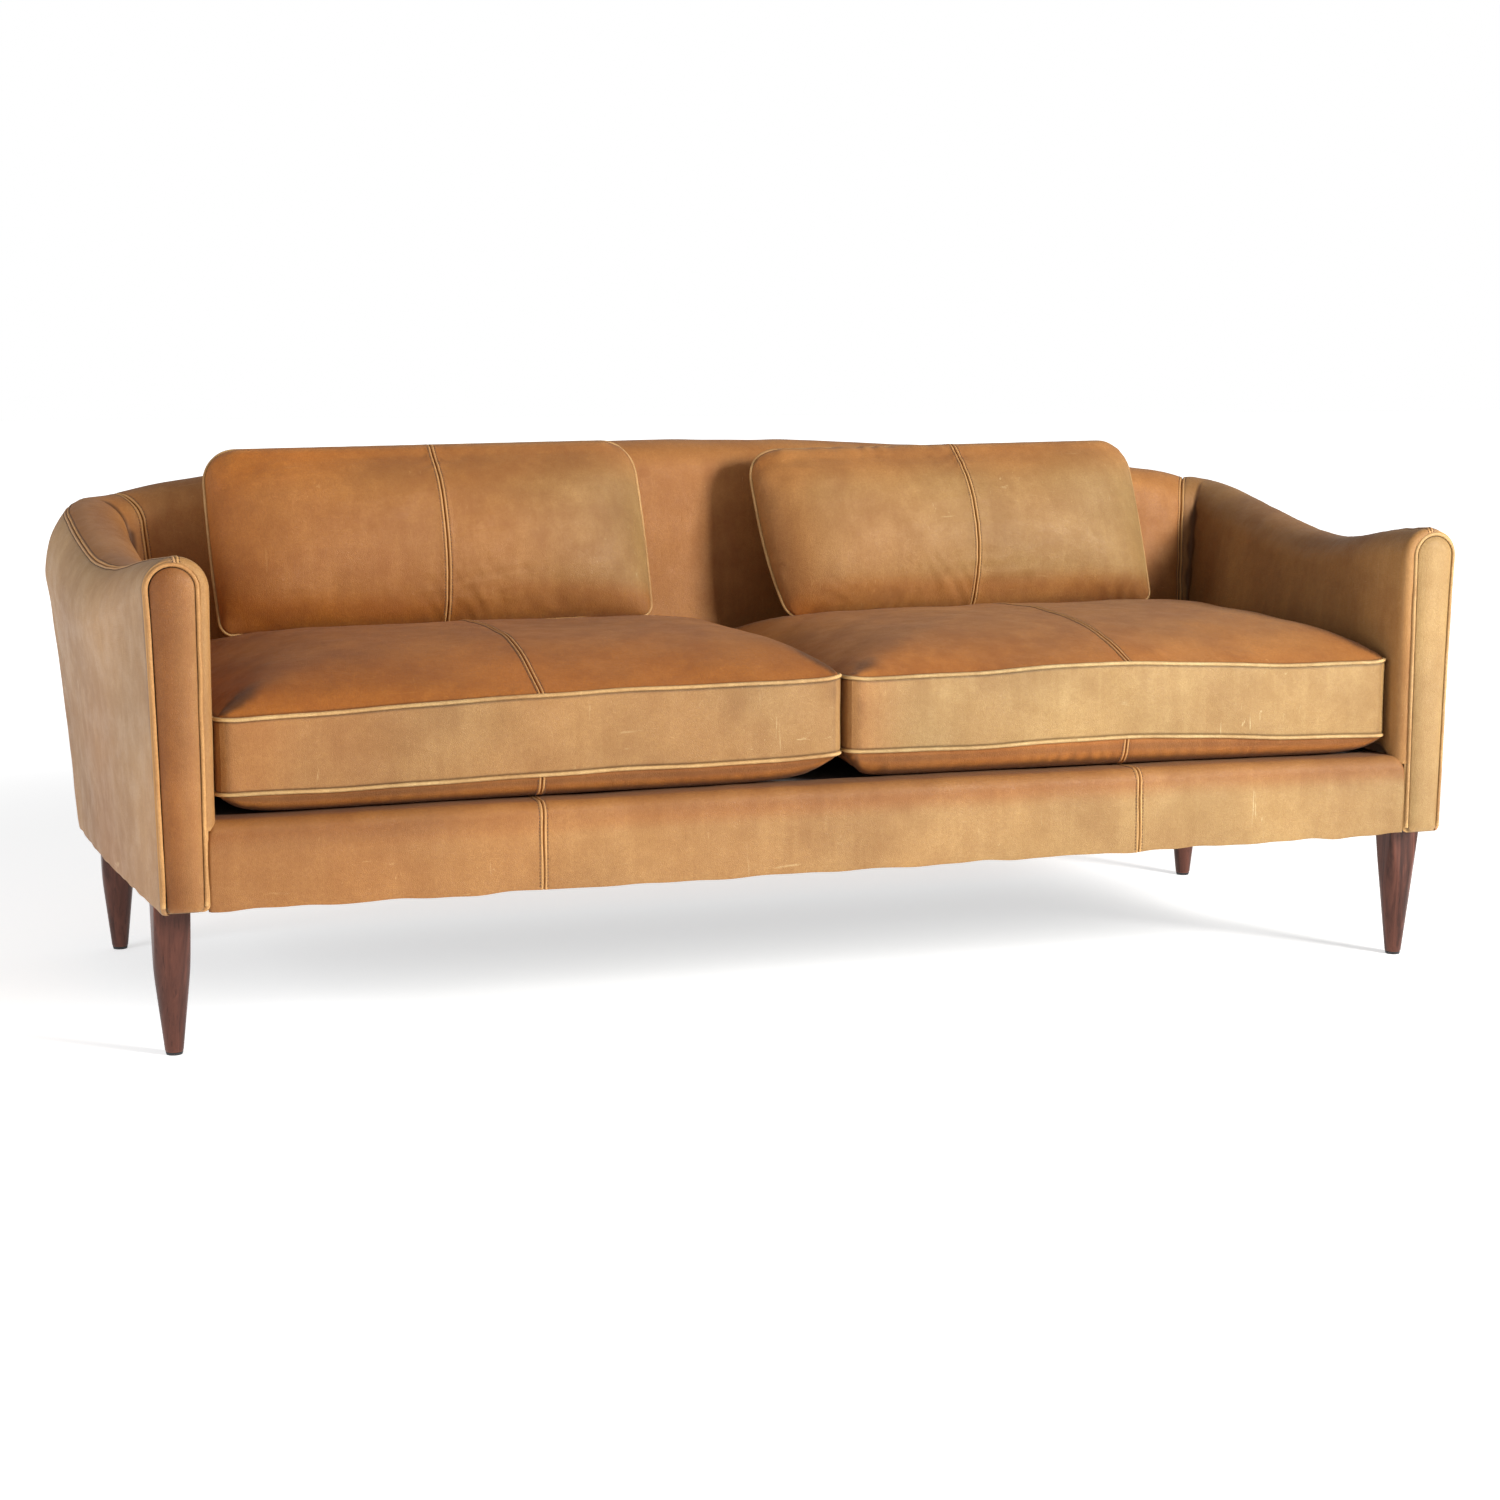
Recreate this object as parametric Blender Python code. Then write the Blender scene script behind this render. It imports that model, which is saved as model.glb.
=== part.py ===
"""Two-seat leather sofa with wooden legs.

Metres, +Z up, +X to the sitter's left, the back towards +Y, the floor at z = 0 and the
origin on the floor under the middle of the sofa's box. The arms and the back are one
padded wrap: a section that is carried up one arm, round the corner and along the back.
Every layer of that wrap (leather, padding) is the same surface at another depth.
"""

from math import cos, pi, radians, sin

import bmesh
import bpy
from mathutils import Vector

# ---------------------------------------------------------------- driving dimensions
FRONT_Y = -0.435          # front ends of the arm covers and face of the front rail
INSIDE_X = 0.9105         # inner face of an arm at seat level
INSIDE_Y = 0.264          # inner face of the back at seat level
CORNER_INSET = 0.030      # the corner sections turn about a point this far inside
TURN_X = INSIDE_X - CORNER_INSET
TURN_Y = INSIDE_Y - CORNER_INSET
COVER_BOTTOM = 0.212      # lower edge of the outside leather
INSIDE_BOTTOM = 0.346     # lower edge of the inside leather
LEATHER = 0.003
FIT = 0.0005              # gap between pieces that lie on each other
PAD_OUTER = LEATHER + FIT
PAD_INNER = 0.0185        # depth of the back of the padding under the leather's face

# Ridge heights: (y, z) along an arm and (x, z) along one half of the back.
ARM_RIDGE = ((-0.435, 0.690), (-0.30, 0.6765), (-0.15, 0.659), (-0.02, 0.6650),
             (0.10, 0.6840), (0.234, 0.7095))
BACK_RIDGE = ((0.0, 0.8115), (0.25, 0.8090), (0.50, 0.7935), (0.70, 0.7745), (0.8805, 0.7510))

# Wrap section: (lean, inner half width, outer half width, inner and outer arc height,
# width of the foot), for the arm's front, the arm's rear and the back.
ARM_FRONT = (0.000, 0.0435, 0.0435, 0.045, 0.045, 0.0760)
ARM_REAR = (0.030, 0.0625, 0.0625, 0.055, 0.105, 0.1175)
BACK = (0.030, 0.065, 0.086, 0.055, 0.120, 0.141)
LEAN_START = 0.42         # height where the inner face starts to lean out
SEAM_ANGLE = 61.0         # crossing seam between arm and back leather, degrees round the corner
REAR_SEAM_ANGLE = 84.0    # seam between the outside arm and the outside back

LEG_X = 0.9665
LEG_Y = (-0.350, 0.3565)
LEG_SQUARE = 0.050
LEG_TOP = 0.2117
LEG_FOOT_RADIUS = 0.0125
GLIDE_HEIGHT = 0.0037
BOLT_RADIUS = 0.004
BOLT_Z = (0.160, 0.262)
BORE_CLEARANCE = 0.0003

WOOD_BOTTOM = 0.2145
RAIL_TOP = 0.315
FRONT_RAIL_Y = (-0.421, -0.393)
FRONT_POST_Y = (-0.4285, -0.386)
SIDE_RAIL_X = (0.9365, 0.981)
BACK_RAIL_Y = (0.335, 0.374)
ARM_RAIL_Z = (0.600, 0.625)

SPRING_Z = 0.3185
SPRING_RADIUS = 0.0019
SPRING_CENTRES = (0.14, 0.36, 0.58, 0.80)
SPRING_Y = (-0.405, 0.350)
SPRING_WAVES = 12
SPRING_AMPLITUDE = 0.020
TIE_RADIUS = 0.0015
TIE_WAVES = (3.5, 8.5)    # where the cross ties lie, in waves from the front
TIE_OVERHANG = 0.045
TIE_RISE = 0.0003

DECK_Z = (0.3215, 0.3385)
DECK_REAR_Y = 0.300
DECK_CHAMFER = 0.010
DUST_COVER = ((-0.975, -0.425, 0.2120), (0.975, 0.372, 0.2140))

SEAT_X = (0.0040, 0.9055)
SEAT_Y = (-0.408, 0.2575)
SEAT_EDGE_Z = (0.372, 0.482)
SEAT_CROWN = 0.053
SEAT_BELLY = 0.0275
SEAT_CORNER_RADIUS = 0.030
CROWN_POWER = 2.6         # a higher power is full nearer to the edge
CASING = 0.0025
CORE_INSET = 0.0034
ZIP_SHARE = 0.60          # part of a cushion's width that its zip takes
SEAT_ZIP_HALF = 0.008
ZIP_DEPTH_FIT = 0.0003
SLIDER_HALF = (0.006, 0.0045)
SLIDER_HEIGHT = 0.003
SLIDER_INSET = 0.010

PILLOW_SIZE = (0.700, 0.284, 0.165)
PILLOW_PLACES = {"left": (-0.478, 0.185, 0.671), "right": (0.420, 0.185, 0.669)}
PILLOW_LEAN = radians(70.0)
PILLOW_ROLL = radians(-0.8)
PILLOW_CORNER_RADIUS = 0.055
PILLOW_EDGE_HALF = 0.011
PILLOW_ZIP_HALF = 0.006

# ---------------------------------------------------------------- scene and materials
for leftover in list(bpy.data.objects):
    bpy.data.objects.remove(leftover, do_unlink=True)


def material(name, colour, roughness, metallic=0.0):
    made = bpy.data.materials.new(name)
    made.use_nodes = True
    shader = made.node_tree.nodes["Principled BSDF"]
    shader.inputs["Base Color"].default_value = (*colour, 1.0)
    shader.inputs["Roughness"].default_value = roughness
    shader.inputs["Metallic"].default_value = metallic
    return made


TAN = (0.42, 0.19, 0.06)
PALE_TAN = (0.52, 0.26, 0.09)
WALNUT = (0.065, 0.022, 0.012)
HARDWOOD = (0.55, 0.38, 0.20)
STEEL = (0.55, 0.56, 0.58)
FOAM = (0.85, 0.80, 0.62)
FIBRE = (0.90, 0.90, 0.88)
BLACK_CLOTH = (0.03, 0.03, 0.03)
BLACK_PLASTIC = (0.02, 0.02, 0.02)
BRASS = (0.60, 0.45, 0.20)


def place_in_scene(name, mesh, colour, roughness, metallic=0.0, smooth_angle=None):
    """Adds a mesh as the object and node called name, with a material of its own."""
    thing = bpy.data.objects.new(name, mesh)
    bpy.context.scene.collection.objects.link(thing)
    mesh.materials.append(material(name, colour, roughness, metallic))
    if smooth_angle is not None:
        mesh.shade_smooth()
        mesh.set_sharp_from_angle(angle=radians(smooth_angle))
    return thing


def mesh_from(name, points, faces):
    """A closed mesh with every face turned outwards."""
    made = bmesh.new()
    corners = [made.verts.new(point) for point in points]
    for face in faces:
        made.faces.new([corners[index] for index in face])
    bmesh.ops.recalc_face_normals(made, faces=made.faces)
    mesh = bpy.data.meshes.new(name)
    made.to_mesh(mesh)
    made.free()
    return mesh


def grid_faces(rows, columns, start=0, closed=False):
    """Quads of a rows x columns grid of points, the columns wrapping round if closed."""
    last = columns if closed else columns - 1
    quads = []
    for row in range(rows - 1):
        for column in range(last):
            after = (column + 1) % columns
            a = start + row * columns
            b = a + columns
            quads.append((a + column, a + after, b + after, b + column))
    return quads


def loft(rings):
    """Points and faces of a closed body through equal rings, with flat ends."""
    count = len(rings[0])
    points = [point for ring in rings for point in ring]
    faces = grid_faces(len(rings), count, closed=True)
    faces.append(tuple(range(count)))
    faces.append(tuple(range(len(points) - count, len(points))))
    return points, faces


def thick_sheet(outer, inner):
    """Points and faces of a sheet between two grids of the same size, closed at its edges."""
    rows = len(outer)
    columns = len(outer[0])
    offset = rows * columns
    points = [point for row in outer for point in row] + [point for row in inner for point in row]
    faces = grid_faces(rows, columns) + grid_faces(rows, columns, offset)
    border = [(0, column) for column in range(columns)]
    border += [(row, columns - 1) for row in range(1, rows)]
    border += [(rows - 1, column) for column in range(columns - 2, -1, -1)]
    border += [(row, 0) for row in range(rows - 2, 0, -1)]
    for here, there in zip(border, border[1:] + border[:1]):
        a = here[0] * columns + here[1]
        b = there[0] * columns + there[1]
        faces.append((a, b, b + offset, a + offset))
    return points, faces


def box_corners(low, high):
    """The two end rings of an upright box between two corners."""
    (x0, y0, z0), (x1, y1, z1) = low, high
    plan = ((x0, y0), (x1, y0), (x1, y1), (x0, y1))
    return [[(x, y, z) for x, y in plan] for z in (z0, z1)]


def add_box(name, low, high, colour, roughness, metallic=0.0):
    mesh = mesh_from(name, *loft(box_corners(low, high)))
    return place_in_scene(name, mesh, colour, roughness, metallic)


def tube(points, radius, sides, closed=False):
    """Rings of a tube along points, square to each corner's bisector."""
    path = [Vector(point) for point in points]
    count = len(path)
    rings = []
    side = None
    for index, point in enumerate(path):
        before = path[index - 1] if index or closed else point
        after = path[(index + 1) % count] if index < count - 1 or closed else point
        into = (point - before).normalized() if point != before else (after - point).normalized()
        out = (after - point).normalized() if after != point else into
        along = (into + out).normalized()
        if side is None:
            side = along.orthogonal().normalized()
        side = (side - along * side.dot(along)).normalized()
        across = along.cross(side)
        widen = 1.0 / max(0.5, into.dot(along))
        bend = (out - into)
        bend = bend.normalized() if bend.length > 1e-6 else side
        ring = []
        for step in range(sides):
            angle = 2 * pi * step / sides
            spoke = side * cos(angle) + across * sin(angle)
            spoke += bend * spoke.dot(bend) * (widen - 1.0)
            ring.append(tuple(point + spoke * radius))
        rings.append(ring)
    return rings


def ring_tube(points, radius, sides):
    """Points and faces of a tube that closes on itself."""
    rings = tube(points, radius, sides, closed=True)
    corners = [point for ring in rings for point in ring]
    faces = grid_faces(len(rings), sides, closed=True)
    last = (len(rings) - 1) * sides
    for step in range(sides):
        after = (step + 1) % sides
        faces.append((last + step, last + after, after, step))
    return corners, faces


def cutter(name, mesh):
    tool = bpy.data.objects.new(name, mesh)
    bpy.context.scene.collection.objects.link(tool)
    tool.hide_render = True
    tool.display_type = "WIRE"
    return tool


def boolean(target, operation, tool):
    step = target.modifiers.new(operation.title() + "_" + tool.name, "BOOLEAN")
    step.operation = operation
    step.solver = "EXACT"
    step.object = tool


def rod_rings(x, y, z0, z1, radius0, radius1, sides):
    """Two rings of an upright round bar or cone."""
    rings = []
    for z, radius in ((z0, radius0), (z1, radius1)):
        angles = [2 * pi * (step + 0.5) / sides for step in range(sides)]
        rings.append([(x + radius * cos(a), y + radius * sin(a), z) for a in angles])
    return rings


# ---------------------------------------------------------------- the wrap's surface
def smooth(value):
    value = min(1.0, max(0.0, value))
    return value * value * (3.0 - 2.0 * value)


def through(knots, at):
    """Cubic Hermite curve through (position, value) knots."""
    slopes = []
    for index in range(len(knots)):
        low = knots[max(0, index - 1)]
        high = knots[min(len(knots) - 1, index + 1)]
        slopes.append((high[1] - low[1]) / (high[0] - low[0]))
    at = min(knots[-1][0], max(knots[0][0], at))
    index = max(0, sum(1 for knot in knots[1:-1] if knot[0] <= at))
    (x0, y0), (x1, y1) = knots[index], knots[index + 1]
    span = x1 - x0
    t = (at - x0) / span
    rise = y0 + (y1 - y0) * t * t * (3 - 2 * t)
    return rise + span * t * (1 - t) * ((1 - t) * slopes[index] - t * slopes[index + 1])


def blend(first, second, share):
    return tuple(a + (b - a) * share for a, b in zip(first, second))


def station(s):
    """Turn angle, place along the straight, section and ridge height of station s.

    s runs 0 to 1 up the arm, 1 to 2 round the corner and 2 to 3 along half of the back.
    """
    if s <= 1.0:
        y = FRONT_Y + (TURN_Y - FRONT_Y) * s
        shape = blend(ARM_FRONT, ARM_REAR, 1.0 - (1.0 - s) ** 1.5)
        return 0.0, y, shape, through(ARM_RIDGE, y)
    if s >= 2.0:
        x = TURN_X * (3.0 - s)
        return pi / 2, x, BACK, through(BACK_RIDGE, x)
    share = smooth(s - 1.0)
    ridge = ARM_RIDGE[-1][1] + (BACK_RIDGE[-1][1] - ARM_RIDGE[-1][1]) * (s - 1.0)
    return (s - 1.0) * pi / 2, 0.0, blend(ARM_REAR, BACK, share), ridge


def section(shape, ridge, v, depth):
    """Distance out from the inner face and height at section place v, depth under the face.

    v runs 0 to 1 up the inner face, 1 to 2 to the ridge, 2 to 3 over it and 3 to 4 down.
    """
    lean, inner, outer, inner_rise, outer_rise, foot = shape
    crown = lean + inner
    if v <= 1.0:
        top = ridge - inner_rise
        z = INSIDE_BOTTOM + (top - INSIDE_BOTTOM) * v
        share = max(0.0, (z - LEAN_START) / (top - LEAN_START))
        return lean * share ** 1.5 + depth, z
    if v <= 2.0:
        angle = (v - 1.0) * pi / 2
        out = crown - (inner - depth) * cos(angle)
        return out, ridge - inner_rise + (inner_rise - depth) * sin(angle)
    if v <= 3.0:
        angle = (3.0 - v) * pi / 2
        out = crown + (outer - depth) * cos(angle)
        return out, ridge - outer_rise + (outer_rise - depth) * sin(angle)
    top = ridge - outer_rise
    w = 4.0 - v
    swell = 0.55 * sin(pi / 2 * w) + 0.45 * w ** 4
    return foot + (crown + outer - foot) * swell - depth, COVER_BOTTOM + (top - COVER_BOTTOM) * w


def wrap_point(side, s, v, depth):
    """A point of the wrap on the side +1 or -1."""
    angle, place, shape, ridge = station(s)
    out, z = section(shape, ridge, v, depth)
    out += CORNER_INSET
    c = cos(angle)
    n = sin(angle)
    if 0.0 < angle < pi / 2:
        square = 1.0 / max(c, n)
        rounded = (c ** 3.2 + n ** 3.2) ** (-1 / 3.2)
        out *= square + (rounded - square) * smooth((v - 1.0) / 2.0)
    if s <= 1.0:
        return side * (TURN_X + out), place, z
    if s >= 2.0:
        return side * place, TURN_Y + out, z
    return side * (TURN_X + out * c), TURN_Y + out * n, z


def steps(low, high, count):
    return [low + (high - low) * index / count for index in range(count + 1)]


def corner(angle):
    return 1.0 + angle / 90.0


SEAM_GAP = 0.004          # half gap at a seam, in section places
CORNER_GAP = 0.35         # half gap at a corner seam, degrees
ARM_STATIONS = steps(0.0, 1.0, 7)
INSIDE_CORNER = [corner(a) for a in (15, 30, 45, SEAM_ANGLE - CORNER_GAP)]
INSIDE_CORNER_REST = [corner(a) for a in (SEAM_ANGLE + CORNER_GAP, 75, 90)]
OUTSIDE_CORNER = [corner(a) for a in (15, 30, 45, SEAM_ANGLE, 73, REAR_SEAM_ANGLE - CORNER_GAP)]
BACK_STATIONS = [2.0 + share for share in (0.2, 0.4, 0.6, 0.8)]
INSIDE_PLACES = steps(0.0, 1.0, 4) + [1.3, 1.6, 1.85, 2.0 - SEAM_GAP]
OUTSIDE_PLACES = [2.0 + SEAM_GAP, 2.2, 2.45, 2.7, 3.0, 3.2, 3.45, 3.7, 4.0]
PAD_PLACES = INSIDE_PLACES + OUTSIDE_PLACES[:5]


def wrap_sheet(name, route, places, depths, colour, roughness):
    """A layer of the wrap: route is (side, s) pairs, places are v values."""
    grids = [[[wrap_point(side, s, v, depth) for v in places] for side, s in route] for depth in depths]
    mesh = mesh_from(name, *thick_sheet(*grids))
    return place_in_scene(name, mesh, colour, roughness, smooth_angle=40)


def across(stations):
    """Route along the right half of the back and then the left half, through the middle."""
    right = [(1, s) for s in stations] + [(1, s) for s in BACK_STATIONS] + [(1, 3.0)]
    left = [(-1, s) for s in reversed(BACK_STATIONS)] + [(-1, s) for s in reversed(stations)]
    return right + left


SIDES = (("left", -1), ("right", 1))
COVER = (0.0, LEATHER)
PAD = (PAD_OUTER, PAD_INNER)
for word, side in SIDES:
    arm_inside = [(side, s) for s in ARM_STATIONS + INSIDE_CORNER]
    arm_outside = [(side, s) for s in ARM_STATIONS + OUTSIDE_CORNER]
    wrap_sheet("inside_arm_cover_" + word, arm_inside, INSIDE_PLACES, COVER, TAN, 0.5)
    wrap_sheet("outside_arm_cover_" + word, arm_outside, OUTSIDE_PLACES, COVER, TAN, 0.5)
    wrap_sheet("arm_pad_" + word, arm_inside, PAD_PLACES, PAD, FOAM, 0.95)
wrap_sheet("inside_back_cover", across(INSIDE_CORNER_REST), INSIDE_PLACES, COVER, TAN, 0.5)
outside_rest = [corner(REAR_SEAM_ANGLE + CORNER_GAP), 2.0]
wrap_sheet("outside_back_cover", across(outside_rest), OUTSIDE_PLACES, COVER, TAN, 0.5)
wrap_sheet("back_pad", across(INSIDE_CORNER_REST), PAD_PLACES, PAD, FOAM, 0.95)


# ---------------------------------------------------------------- arm facings and their welts
FACING_X = (0.9205, 0.9975)
FACING_Y = (-0.4435, -0.4355)
FACING_INSET = 0.0098
WELT_RADIUS = 0.0045
WELT_INSET = 0.0048
WELT_Y = -0.4400


def facing_outline(inset, arc_steps=8):
    """The front outline of an arm, counter-clockwise from its lower inner corner, in x and z."""
    x0 = FACING_X[0] + inset
    x1 = FACING_X[1] - inset
    foot_x = INSIDE_X + ARM_FRONT[5] - inset
    half = (x1 - x0) / 2
    centre = (x0 + x1) / 2
    spring = ARM_RIDGE[0][1] - inset - half
    low = COVER_BOTTOM + inset
    outline = [(x0, low), (foot_x, low)]
    outline.append(((foot_x + x1) / 2, (low + spring) / 2))
    for step in range(arc_steps + 1):
        angle = pi * step / arc_steps
        outline.append((centre + half * cos(angle), spring + half * sin(angle)))
    outline.append((x0, (low + spring) / 2))
    return outline


for word, side in SIDES:
    panel = [[(side * x, y, z) for x, z in facing_outline(FACING_INSET)] for y in FACING_Y]
    mesh = mesh_from("arm_facing_" + word, *loft(panel))
    place_in_scene("arm_facing_" + word, mesh, TAN, 0.5, smooth_angle=40)
    line = [(side * x, WELT_Y, z) for x, z in facing_outline(WELT_INSET)]
    mesh = mesh_from("facing_welt_" + word, *ring_tube(line, WELT_RADIUS, 6))
    place_in_scene("facing_welt_" + word, mesh, PALE_TAN, 0.5, smooth_angle=60)


# ---------------------------------------------------------------- front rail cover and deck
RAIL_COVER_X = 0.920
RAIL_COVER_TOP = 0.342
RAIL_COVER_BACK = -0.365
RAIL_COVER_RADIUS = 0.012
RAIL_COVER_MIDDLE_Z = 0.27


def rail_cover_line(depth):
    """Section of the front rail leather in y and z, depth under its face."""
    radius = RAIL_COVER_RADIUS - depth
    centre_y = FRONT_Y + RAIL_COVER_RADIUS
    centre_z = RAIL_COVER_TOP - RAIL_COVER_RADIUS
    line = [(FRONT_Y + depth, COVER_BOTTOM), (FRONT_Y + depth, RAIL_COVER_MIDDLE_Z)]
    for angle in (radians(a) for a in (180, 150, 120, 90)):
        line.append((centre_y + radius * cos(angle), centre_z + radius * sin(angle)))
    line.append((RAIL_COVER_BACK, RAIL_COVER_TOP - depth))
    return line


def rail_cover_grid(depth):
    stations = [RAIL_COVER_X * share for share in (-1, -0.5, 0, 0.5, 1)]
    return [[(x, y, z) for y, z in rail_cover_line(depth)] for x in stations]


mesh = mesh_from("front_rail_cover", *thick_sheet(rail_cover_grid(0.0), rail_cover_grid(LEATHER)))
place_in_scene("front_rail_cover", mesh, TAN, 0.5, smooth_angle=40)

LIP_Y = (FRONT_Y + LEATHER + FIT, FRONT_RAIL_Y[0] - FIT)
deck_line = ((LIP_Y[0], WOOD_BOTTOM), (LIP_Y[1], WOOD_BOTTOM), (LIP_Y[1], DECK_Z[0]),
             (DECK_REAR_Y, DECK_Z[0]), (DECK_REAR_Y, DECK_Z[1]),
             (LIP_Y[0] + DECK_CHAMFER, DECK_Z[1]), (LIP_Y[0], DECK_Z[1] - DECK_CHAMFER))
deck_rings = [[(x, y, z) for y, z in deck_line] for x in (-RAIL_COVER_X, RAIL_COVER_X)]
mesh = mesh_from("seat_deck_pad", *loft(deck_rings))
place_in_scene("seat_deck_pad", mesh, FIBRE, 0.95)

# ---------------------------------------------------------------- hardwood frame
LEG_PLACES = {"front_left": (-LEG_X, LEG_Y[0]), "front_right": (LEG_X, LEG_Y[0]),
              "rear_left": (-LEG_X, LEG_Y[1]), "rear_right": (LEG_X, LEG_Y[1])}
BORE_RADIUS = BOLT_RADIUS + BORE_CLEARANCE
ROD_SIDES = 10
bore_cutters = {}
for word, (x, y) in LEG_PLACES.items():
    bore_z = (BOLT_Z[0] - BORE_CLEARANCE, BOLT_Z[1] + BORE_CLEARANCE)
    rings = rod_rings(x, y, *bore_z, BORE_RADIUS, BORE_RADIUS, ROD_SIDES)
    bore_cutters[word] = cutter("bore_" + word, mesh_from("bore_" + word, *loft(rings)))

rail_end = SIDE_RAIL_X[0] + FIT
add_box("front_rail", (-rail_end, FRONT_RAIL_Y[0], WOOD_BOTTOM), (rail_end, FRONT_RAIL_Y[1], RAIL_TOP),
        HARDWOOD, 0.7)
BACK_RAIL_HALF = 0.985
back_rail = add_box("back_rail", (-BACK_RAIL_HALF, BACK_RAIL_Y[0], WOOD_BOTTOM),
                    (BACK_RAIL_HALF, BACK_RAIL_Y[1], RAIL_TOP), HARDWOOD, 0.7)
STRETCHER_HALF = 0.020
STRETCHER_TOP = 0.290
add_box("seat_stretcher", (-STRETCHER_HALF, FRONT_RAIL_Y[1] + FIT, WOOD_BOTTOM),
        (STRETCHER_HALF, BACK_RAIL_Y[0] - FIT, STRETCHER_TOP), HARDWOOD, 0.7)

TOP_RAIL_DROP = (0.102, 0.050)
TOP_RAIL_Y = (0.336, 0.372)
TOP_RAIL_HALF = 0.985
PAST_TURN_SLOPE = 0.2


def top_rail_ridge(x):
    """Height of the back's ridge over the top rail, running on down past the turn."""
    return through(BACK_RIDGE, abs(x)) - PAST_TURN_SLOPE * max(0.0, abs(x) - BACK_RIDGE[-1][0])


REAR_POST_X = (0.967, 1.007)
REAR_POST_Y = (BACK_RAIL_Y[0], 0.368)
for word, side in SIDES:
    low_x, high_x = sorted((side * SIDE_RAIL_X[0], side * SIDE_RAIL_X[1]))
    rail = add_box("side_rail_" + word, (low_x, FRONT_POST_Y[1] + FIT, WOOD_BOTTOM),
                   (high_x, BACK_RAIL_Y[0] - FIT, RAIL_TOP), HARDWOOD, 0.7)
    boolean(rail, "DIFFERENCE", bore_cutters["front_" + word])
    boolean(back_rail, "DIFFERENCE", bore_cutters["rear_" + word])
    low_x, high_x = sorted((side * (rail_end + FIT), side * (SIDE_RAIL_X[1] - FIT)))
    add_box("front_post_" + word, (low_x, FRONT_POST_Y[0], WOOD_BOTTOM),
            (high_x, FRONT_POST_Y[1], ARM_RAIL_Z[0] - FIT), HARDWOOD, 0.7)
    low_x, high_x = sorted((side * REAR_POST_X[0], side * REAR_POST_X[1]))
    post_top = top_rail_ridge(TOP_RAIL_HALF) - TOP_RAIL_DROP[0] - FIT
    add_box("rear_post_" + word, (low_x, REAR_POST_Y[0], RAIL_TOP + FIT),
            (high_x, REAR_POST_Y[1], post_top), HARDWOOD, 0.7)

ARM_RAIL_HALF = 0.018
ARM_RAIL_ENDS = ((0.9565, FRONT_POST_Y[0]), (0.9935, REAR_POST_Y[0] - FIT))
for word, side in SIDES:
    (x0, y0), (x1, y1) = ARM_RAIL_ENDS
    plan = ((x0 - ARM_RAIL_HALF, y0), (x0 + ARM_RAIL_HALF, y0),
            (x1 + ARM_RAIL_HALF, y1), (x1 - ARM_RAIL_HALF, y1))
    rings = [[(side * x, y, z) for x, y in plan] for z in ARM_RAIL_Z]
    mesh = mesh_from("arm_rail_" + word, *loft(rings))
    place_in_scene("arm_rail_" + word, mesh, HARDWOOD, 0.7)

rings = []
for share in steps(-1.0, 1.0, 12):
    x = TOP_RAIL_HALF * share
    low, high = (top_rail_ridge(x) - drop for drop in TOP_RAIL_DROP)
    corners = ((TOP_RAIL_Y[0], low), (TOP_RAIL_Y[1], low), (TOP_RAIL_Y[1], high), (TOP_RAIL_Y[0], high))
    rings.append([(x, y, z) for y, z in corners])
mesh = mesh_from("back_top_rail", *loft(rings))
place_in_scene("back_top_rail", mesh, HARDWOOD, 0.7)
add_box("back_centre_post", (-STRETCHER_HALF, BACK_RAIL_Y[0], RAIL_TOP + FIT),
        (STRETCHER_HALF, BACK_RAIL_Y[1], BACK_RIDGE[0][1] - TOP_RAIL_DROP[0] - 2 * FIT), HARDWOOD, 0.7)

# ---------------------------------------------------------------- springs and webbing
pitch = (SPRING_Y[1] - SPRING_Y[0]) / SPRING_WAVES


def spring_line(centre):
    """Zigzag wire from the front rail to the back rail, in the plane of the springs."""
    line = []
    for wave in range(SPRING_WAVES + 1):
        reach = SPRING_AMPLITUDE if wave % 2 else -SPRING_AMPLITUDE
        y = SPRING_Y[0] + pitch * wave
        line.append((centre - reach, y, SPRING_Z))
        line.append((centre + reach, y, SPRING_Z))
    return line


def gather(bodies):
    """Points and faces of several bodies as one list."""
    points = []
    faces = []
    for some_points, some_faces in bodies:
        start = len(points)
        points += some_points
        faces += [tuple(index + start for index in face) for face in some_faces]
    return points, faces


for word, side in SIDES:
    wires = [loft(tube(spring_line(side * centre), SPRING_RADIUS, 4)) for centre in SPRING_CENTRES]
    mesh = mesh_from("seat_springs_" + word, *gather(wires))
    springs = place_in_scene("seat_springs_" + word, mesh, STEEL, 0.35, 1.0)
    ties = []
    for wave in TIE_WAVES:
        y = SPRING_Y[0] + pitch * wave
        tie_x = (SPRING_CENTRES[0] - TIE_OVERHANG, SPRING_CENTRES[-1] + TIE_OVERHANG)
        ends = [(side * x, y, SPRING_Z + TIE_RISE) for x in tie_x]
        ties.append(loft(tube(ends, TIE_RADIUS, 5)))
    boolean(springs, "UNION", cutter("tie_wires_" + word, mesh_from("tie_wires_" + word, *gather(ties))))

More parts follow.
